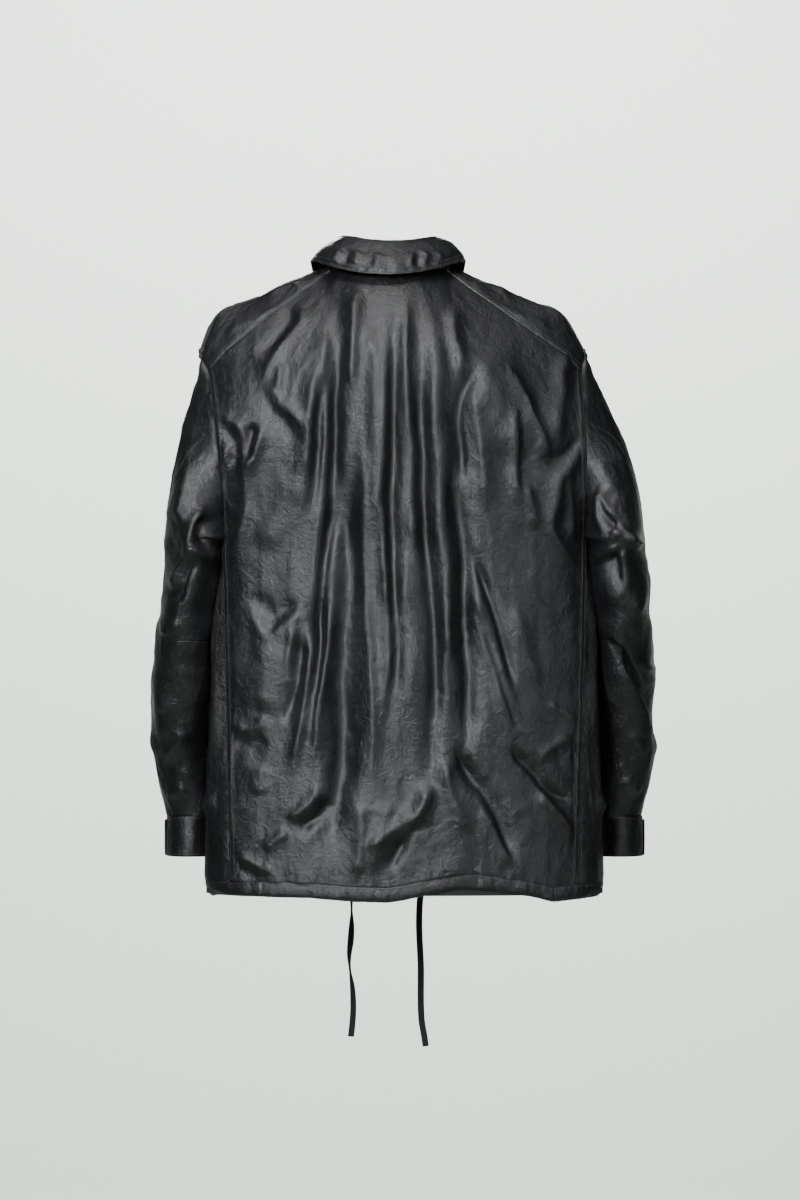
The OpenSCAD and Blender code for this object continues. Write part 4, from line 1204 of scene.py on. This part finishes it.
def make_sleeve(name, hand, threads):
    base, ss, zz = sleeve_base(hand)
    height = sleeve_height(name, base, ss, zz)
    height = sleeve_seam(height, base, CROSS_SEAM[name])
    whole = Piece(f"{name}_sleeve", base, height, (hand * 262 - LEAN, -30))
    chart = np.where((ss > 0)[..., None], base[..., [0, 2]], 1e6)
    beside = [(x + 1.2 * hand, z + 2.6) for x, z in CROSS_SEAM[name]]
    threads["jacket_body"].row(chart_path(whole, chart, beside))
    cut = int(np.argmin(np.abs(zz[:, 0] - SLEEVE_CUT)))
    upper = whole.part(f"{name}_upper_sleeve_leather", slice(0, cut + 1))
    lower = whole.part(f"{name}_lower_sleeve_leather", slice(cut, None))
    shoulder = ("jacket_body", f"{name}_arm", (hand * 262 - LEAN, -20, -325), (hand * 268 - LEAN, -30, -445))
    elbow = (f"{name}_arm", f"{name}_forearm", (hand * 270 - LEAN, -45, -470), (hand * 274 - LEAN, -70, -575))
    nodes = [f"{name}_sleeve_head", f"{name}_upper_sleeve"]
    sewn(upper, LEATHER, BOTH_SIDES, shoulder, nodes)
    sewn(lower, LEATHER, BOTH_SIDES, elbow, [f"{name}_lower_sleeve"])


# ---------- cuffs ----------
def cuff_base(hand, angles, z, out):
    aa, zz = np.meshgrid(angles, z)
    p = sleeve_point(SLEEVE_LOW + 0 * zz, aa)
    middle_x = (sleeve_out(SLEEVE_LOW) + sleeve_in(SLEEVE_LOW)) / 2
    way = p - np.stack([middle_x + 0 * zz, sleeve_y(SLEEVE_LOW) + 0 * zz, zz], -1)
    way[..., 2] = 0
    way /= np.linalg.norm(way, axis=-1, keepdims=True)
    p = p + way * out
    p[..., 2] = zz
    p[..., 0] = hand * p[..., 0] + lean(zz)
    return p


def make_cuff(name, hand, threads):
    z = mix(SLEEVE_LOW + 3, CUFF_LOW, spread(49, 6, 6, 1.8))
    base = cuff_base(hand, mix(9, 352, spread(180, 8, 8, 1.8)), z, 1.6)
    top, low, first, last = edge_runs(base)
    edge = np.minimum(top, low)
    p = np.stack([first, edge, 0 * first], -1)
    height = 0.8 * ease(edge / 1.6) + 0.5 * noise(base, (16, 16, 24), 101) + 0.35 * noise(p, (5, 12, 9), 103)
    height -= 0.4 * np.exp(-(((edge - 3) / 0.9) ** 2))
    middle = base[..., :2].mean((0, 1))
    piece = Piece(f"{name}_cuff_leather", base, height, middle)
    sewn(piece, 2.2, (LEATHER_SKIN,), f"{name}_forearm", [f"{name}_cuff"])
    for side in ("top", "low"):
        threads[f"{name}_forearm"].row(inset_path(piece, side, 3.0))
    shares = spread(44, 5, 5, 1.6)
    tab = cuff_base(hand, mix(8, -62, shares), mix(SLEEVE_LOW - 1.2, CUFF_LOW + 0.4, shares), 3.6)
    top, low, first, last = edge_runs(tab)
    edge = np.minimum(np.minimum(top, low), last)
    height = 1.0 * ease(edge / 1.5) + 0.3 * noise(tab, (14, 14, 20), 105)
    height -= 0.4 * np.exp(-(((edge - 3) / 0.9) ** 2))
    piece = Piece(f"{name}_cuff_tab_leather", tab, height, middle)
    sewn(piece, 1.8, (LEATHER_SKIN,), f"{name}_cuff_flap", [f"{name}_cuff_tab"])
    for side in ("top", "low", "last"):
        threads[f"{name}_cuff_flap"].row(inset_path(piece, side, 3.0, 0.08, 0.92))


# ---------- collar ----------
COLLAR_FOLDS = [
    (2.6, 6, 6, 0.5, [(-66, 14), (-61, 4), (-58, -4)]),
    (2.6, 5, 6, 0.6, [(-48, 16), (-45, 6), (-43, -6)]),
    (2.4, 5, 5, 0.6, [(-30, 14), (-28, 2), (-27, -8)]),
    (2.2, 7, 7, 0.4, [(8, 12), (12, 2), (14, -8)]),
    (2.6, 7, 7, 0.4, [(34, 16), (38, 6), (40, -4)]),
    (2.6, 6, 7, 0.5, [(56, 18), (62, 8), (66, 0)]),
    (-2.6, 6, 6, 0.2, [(-39, 16), (-37, 4), (-35, -6)]),
    (-2.4, 6, 6, 0.2, [(46, 18), (50, 6), (53, -2)]),
]
COLLAR_END = 165
FOLD_TOP_X = [-93, -87, -73, -62, -51, -38, -27, -16, 4, 23, 39, 55, 71, 89]
FOLD_TOP_Z = [2, 6, 10, 13, 16, 16, 15, 14, 14, 16, 19, 19, 12, 5]


def collar_side(angle):
    return np.sign(angle) + (angle == 0)


def neck_line(angle):
    a = np.abs(angle)
    x = NECK_HALF * np.sin(np.radians(a))
    front_z = neck_side_z() - NECK_DROP * (1 - neck_share(x) ** 2) ** 0.75
    z = np.where(a < 90, -4 + 3 * neck_share(x) ** 2, front_z)
    y = np.where(a < 90, 1, -1) * depth_at(x, z)
    return np.stack([collar_side(angle) * x, y, z], -1)


def fold_line(angle):
    a = np.abs(angle)
    s, c = np.sin(np.radians(a)), np.cos(np.radians(a))
    q = np.clip(a - 90, 0, None) / (COLLAR_END - 90)
    back = np.stack([(NECK_HALF - 17) * s, 41 * c - 3 * s, 24 + 7 * s**2], -1)
    front_y = -3 - 89 * np.sin(np.radians(90 * q))
    front = np.stack([mix(NECK_HALF - 17, 12, q**1.6), front_y, mix(31, -62, q**1.4)], -1)
    out = np.where((a <= 90)[..., None], back, front)
    out[..., 0] *= collar_side(angle)
    return out


def edge_line(angle):
    a = np.abs(angle)
    s, c = np.sin(np.radians(a)), np.cos(np.radians(a))
    q = np.clip(a - 90, 0, None) / (COLLAR_END - 90)
    x = NECK_HALF * s
    back = np.stack([x + 15 * s, depth_at(x, -4 + 3 * neck_share(x) ** 2) + 19 * c, -14 + 19 * s**2], -1)
    front_y = -107 * np.sin(np.radians(90 * q))
    front = np.stack([mix(NECK_HALF + 15, 52, q**1.5), front_y, mix(5, -124, q**1.3)], -1)
    out = np.where((a <= 90)[..., None], back, front)
    out[..., 0] *= collar_side(angle)
    return out


def outward_of(angle):
    return np.stack([np.sin(np.radians(angle)), np.cos(np.radians(angle)), 0 * angle], -1)


def make_collar(stitches):
    """One folded leaf: up from the neck seam inside, over the fold, and down outside to its edge."""
    across = spread(520, 8, 8, 2.0)
    angle = mix(-COLLAR_END, COLLAR_END, across)
    neck, top, edge = neck_line(angle), fold_line(angle), edge_line(angle)
    way = outward_of(angle)
    up = np.array([0, 0, 1.0])
    rows = []
    kinds = []
    for v in np.linspace(0, 0.86, 12):
        rows.append(mix(neck, top, mix(0.10, 0.93, v)) - way * 1.0 + up * 1.5)
        kinds.append(0)
    for t in np.linspace(0, math.pi, 9):
        centre = top + up * 1.0
        rows.append(centre - way * 2.4 * math.cos(t) * 0.5 + way * 1.6 + up * (1.5 + 2.0 * math.sin(t)))
        kinds.append(0.5)
    leaf = spread(46, 0, 12, 1.7, 1.0)[1:]
    for v in leaf:
        bow = 5 * math.sin(math.pi * v) * 0.7 + 3.4 * 0.7
        rows.append(mix(top, edge, 1.1 * v) + way * (bow + 1.0 * (1 - v)) + up * (bow + 1.5))
        kinds.append(1)
    base = np.array(rows)
    kinds = np.array(kinds)
    runs, low, first, last = edge_runs(base)
    outer = (kinds > 0.7)[:, None] * 1.0
    back = ease((base[..., 1] + 5) / 30)
    p = np.stack([base[..., 0], low, base[..., 1] * 0.7], -1)
    pucker = 0.7 * noise(p, (5, 16, 30), 111) + 0.5 * noise(p, (10, 26, 40), 113)
    height = outer * pucker * np.exp(-((low / 15) ** 2)) * ease(low / 1.5)
    for at in (3.0, 8.0):
        height -= 0.45 * np.exp(-(((low - at) / 0.9) ** 2)) * outer
    wave = 1.8 * noise(base, (34, 40, 22), 115) + 0.8 * noise(base, (15, 20, 14), 117)
    wave += 0.3 * noise(base, (7, 7, 7), 118)
    height += wave * mix(0.35, 1, outer) * ease(low / 8)
    x = base[..., 0]
    lift = np.interp(x, FOLD_TOP_X, np.array(FOLD_TOP_Z) - 15.0) * 0.5
    crest = np.exp(-(((runs - runs[np.argmax(kinds >= 0.5)]) / 16) ** 2))
    base = base + up * (lift * crest * back)[..., None]
    height += folds(base[..., [0, 2]], COLLAR_FOLDS) * outer * back * ease(low / 5)
    piece = Piece("collar_leather", base, height, (0, -20))
    nodes = ["collar_stand", "under_collar", "upper_collar"]
    sewn(piece, 1.6, (LEATHER_SKIN,), "jacket_body", nodes)
    for d in (3.0, 8.0):
        stitches.row(inset_path(piece, "low", d, 0.01, 0.99))
    for side in ("first", "last"):
        stitches.row(inset_path(piece, side, 3.0, 0.55, 0.95))


def make_loop():
    """The strap that hangs the jacket from a hook, sewn inside the back neck."""
    t = np.linspace(0, 1, 40)
    x = mix(-28, 28, t)
    y = depth_at(x, -10) - 7.8 - 3.8 * np.sin(np.pi * t)
    z = -14 - 13 * np.sin(np.pi * t)
    rows = [np.stack([x, y + 0.3 * math.sin(4 * v), z - 7 * v], -1) for v in np.linspace(0, 1, 9)]
    base = np.array(rows)
    piece = Piece("hang_loop_leather", base, 0.5 + 0.2 * noise(base, (5, 5, 5), 121))
    sewn(piece, 1.2, (LEATHER_SKIN,), "jacket_body", ["hang_loop"])


# ---------- drawstring ends ----------
# Each point of a route is x, the distance in front of the wall, z, and the tape's twist in degrees.
LEFT_ROUTE = [(42, 0, -752, 0), (43, 1, -760, 8), (45, 4, -772, 60), (45, 5, -788, 82), (45, 5, -803, 40),
              (46, 5, -822, 5), (48, 5, -842, 50), (47, 5, -860, 80), (44, 5, -882, 38), (43, 5, -905, 22),
              (44, 5, -925, 18), (46, 5, -942, 15)]
RIGHT_ROUTE = [(-42, 0, -752, 0), (-41, 1, -760, 0), (-39, 4, -774, 4), (-38, 5, -792, 8), (-38, 5, -812, 12),
               (-39, 5, -834, 14), (-40, 5, -856, 10), (-40, 5, -878, 4), (-40, 5, -900, 0),
               (-41, 5, -922, 6),
               (-44, 5, -940, 10), (-46, 5, -954, 10)]


def make_drawstring(name, route, wall_y):
    """A flat woven tape that hangs from its eyelet along the route."""
    points = [(x, wall_y - off, z) for x, off, z, _ in route]
    line, share = smooth_path(points, 2.0)
    runs = np.concatenate([[0], np.cumsum(np.linalg.norm(np.diff(np.array(points), axis=0), axis=1))])
    stations = runs / runs[-1]
    twist = np.radians(np.interp(share, stations, [r[3] for r in route]))
    twist = np.convolve(np.pad(twist, 4, mode="edge"), np.ones(9) / 9, mode="valid")
    way = np.gradient(line, axis=0)
    way /= np.linalg.norm(way, axis=1, keepdims=True)
    side = np.stack([np.cos(twist), np.sin(twist), 0 * twist], -1)
    side -= way * (side * way).sum(1, keepdims=True)
    side /= np.linalg.norm(side, axis=1, keepdims=True)
    up = np.cross(way, side)
    section = []
    for face in (1, -1):
        for u in np.linspace(-face, face, 11):
            half = 0.55 * (1 - 0.5 * abs(u) ** 6) + 0.10 * math.cos(9 * math.pi * u)
            section.append((u, face * half))
    n = len(section)
    verts = np.array([line + side * (u * TAPE_WIDTH / 2) + up * v for u, v in section]).transpose(1, 0, 2)
    ribs = 0.12 * np.sin(np.arange(len(line)) * 2.4)[:, None, None] * up[:, None]
    signs = np.array([1 if v > 0 else -1 for _, v in section])[None, :, None]
    verts = (verts + ribs * signs).reshape(-1, 3)
    faces = quads(len(line), n, False, closed=True).tolist()
    faces += [list(range(n)), [(len(line) - 1) * n + k for k in range(n)][::-1]]
    obj = add_mesh(f"{name}_drawstring_tape", verts, faces)
    fix_normals(obj)
    obj.data.materials.append(TAPE)
    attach(obj, f"{name}_cord")
    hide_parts(f"{name}_drawstring")


def fix_normals(obj):
    """Turns a closed mesh's faces outward."""
    bm = bmesh.new()
    bm.from_mesh(obj.data)
    bmesh.ops.recalc_face_normals(bm, faces=bm.faces)
    bm.to_mesh(obj.data)
    bm.free()


make_drawstring("left", LEFT_ROUTE, -115.29)
make_drawstring("right", RIGHT_ROUTE, -117.29)


# ---------- the jacket ----------
SEWN_BODIES = ("jacket_body", "left_front", "right_front", "left_forearm", "right_forearm",
               "left_cuff_flap", "right_cuff_flap")
threads = {name: Stitches(f"{name}_stitching") for name in SEWN_BODIES}

back = make_back()
for edge_name in ("first", "last"):
    for distance in (2.5, 8.5):
        threads["jacket_body"].row(inset_path(back, edge_name, distance, 0.03, 0.995))

for name, hand in SIDES:
    make_side(name, hand)
    front, front_points, front_height = make_front(name, hand)
    make_front_insides(name, hand, front_points, front_height)
    make_welt(name, hand, front, threads[f"{name}_front"])
    for distance in (4.0, 30.0):
        threads[f"{name}_front"].row(inset_path(front, "first", distance, 0.03, 0.99))
    for distance in (2.5, 8.5):
        threads[f"{name}_front"].row(inset_path(front, "last", distance, 0.03, 0.99))
    make_saddle(name, hand, threads["jacket_body"])
    make_sleeve(name, hand, threads)
    make_cuff(name, hand, threads)

make_hems(threads)
make_collar(threads["jacket_body"])
make_loop()

for name, rows in threads.items():
    obj = rows.build(THREAD)
    if name in ("left_front", "right_front"):
        swings(obj, "jacket_body", name, *at_crease(1 if name == "left_front" else -1))
    else:
        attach(obj, name)

NODE_LOOKS = {"hem_drawstring": TAPE, "neck_snap_cap": SNAP_PAINT, "neck_snap_stud": STEEL,
              "left_snap_caps": SNAP_PAINT, "left_snap_sockets": STEEL,
              "right_snap_studs": STEEL, "right_snap_backs": SNAP_PAINT}
for name, hand in SIDES:
    NODE_LOOKS[f"{name}_cuff_snap_cap"] = SNAP_PAINT
    NODE_LOOKS[f"{name}_cuff_stud"] = STEEL
    NODE_LOOKS[f"{name}_eyelet"] = EYELET
for node, material in NODE_LOOKS.items():
    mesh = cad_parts[node].data
    mesh.materials.clear()
    mesh.materials.append(material)


# ---------- backdrop and light ----------
def make_backdrop():
    """A pale floor that curves up into a wall behind the object and another far in front of it."""
    material, nodes, links, shader = new_material("backdrop")
    shader.inputs["Base Color"].default_value = (0.71, 0.77, 0.71, 1)
    shader.inputs["Roughness"].default_value = 0.95
    shader.inputs["Specular IOR Level"].default_value = 0.1
    wall, floor_z, radius = 24.0, -4.2, 1.2
    half = [(wall - radius + radius * math.sin(a), floor_z + radius - radius * math.cos(a))
            for a in np.radians(np.linspace(0, 90, 17))] + [(wall, 9.0)]
    profile = half[::-1] + [(-y, z) for y, z in half]
    verts = [(x, y, z) for x in (-24, 24) for y, z in profile]
    n = len(profile)
    faces = [(i, i + 1, n + i + 1, n + i) for i in range(n - 1)]
    mesh = bpy.data.meshes.new("backdrop")
    mesh.from_pydata(verts, [], faces)
    mesh.polygons.foreach_set("use_smooth", [True] * len(mesh.polygons))
    obj = bpy.data.objects.new("backdrop", mesh)
    obj.data.materials.append(material)
    bpy.context.scene.collection.objects.link(obj)


def area_light(name, place, aim, size, power, colour=(1, 1, 1)):
    """A soft rectangular light at place, pointing at aim."""
    data = bpy.data.lights.new(name, "AREA")
    data.shape = "RECTANGLE"
    data.size, data.size_y = size
    data.energy = power
    data.color = colour
    obj = bpy.data.objects.new(name, data)
    obj.location = place
    way = Vector(aim) - Vector(place)
    obj.rotation_euler = way.to_track_quat("-Z", "Y").to_euler()
    bpy.context.scene.collection.objects.link(obj)


make_backdrop()
area_light("key", (1.15, 2.9, 0.75), (0, 0, -0.42), (0.9, 1.3), 176, (0.96, 0.98, 1.0))
area_light("side", (-1.9, 2.2, 0.3), (0, 0, -0.45), (0.4, 1.6), 28, (0.95, 0.98, 1.0))
area_light("top", (0.2, 1.2, 1.9), (0, 0, -0.3), (1.4, 0.4), 40)
area_light("front_fill", (0.3, -3.6, 0.9), (0, 0, -0.4), (1.0, 1.4), 90)
area_light("overhead", (0, 1, 5.5), (0, 1, 0), (6.0, 6.0), 150)
area_light("wall_wash", (0, -18.5, 3.8), (0, -24, -0.9), (9.0, 1.2), 1950)
area_light("far_wash", (0, 18.5, 3.8), (0, 24, -0.9), (9.0, 1.2), 400)

world = bpy.data.worlds.new("world")
world.use_nodes = True
world.node_tree.nodes["Background"].inputs[0].default_value = (0.86, 0.90, 0.88, 1)
world.node_tree.nodes["Background"].inputs[1].default_value = 0.03
bpy.context.scene.world = world
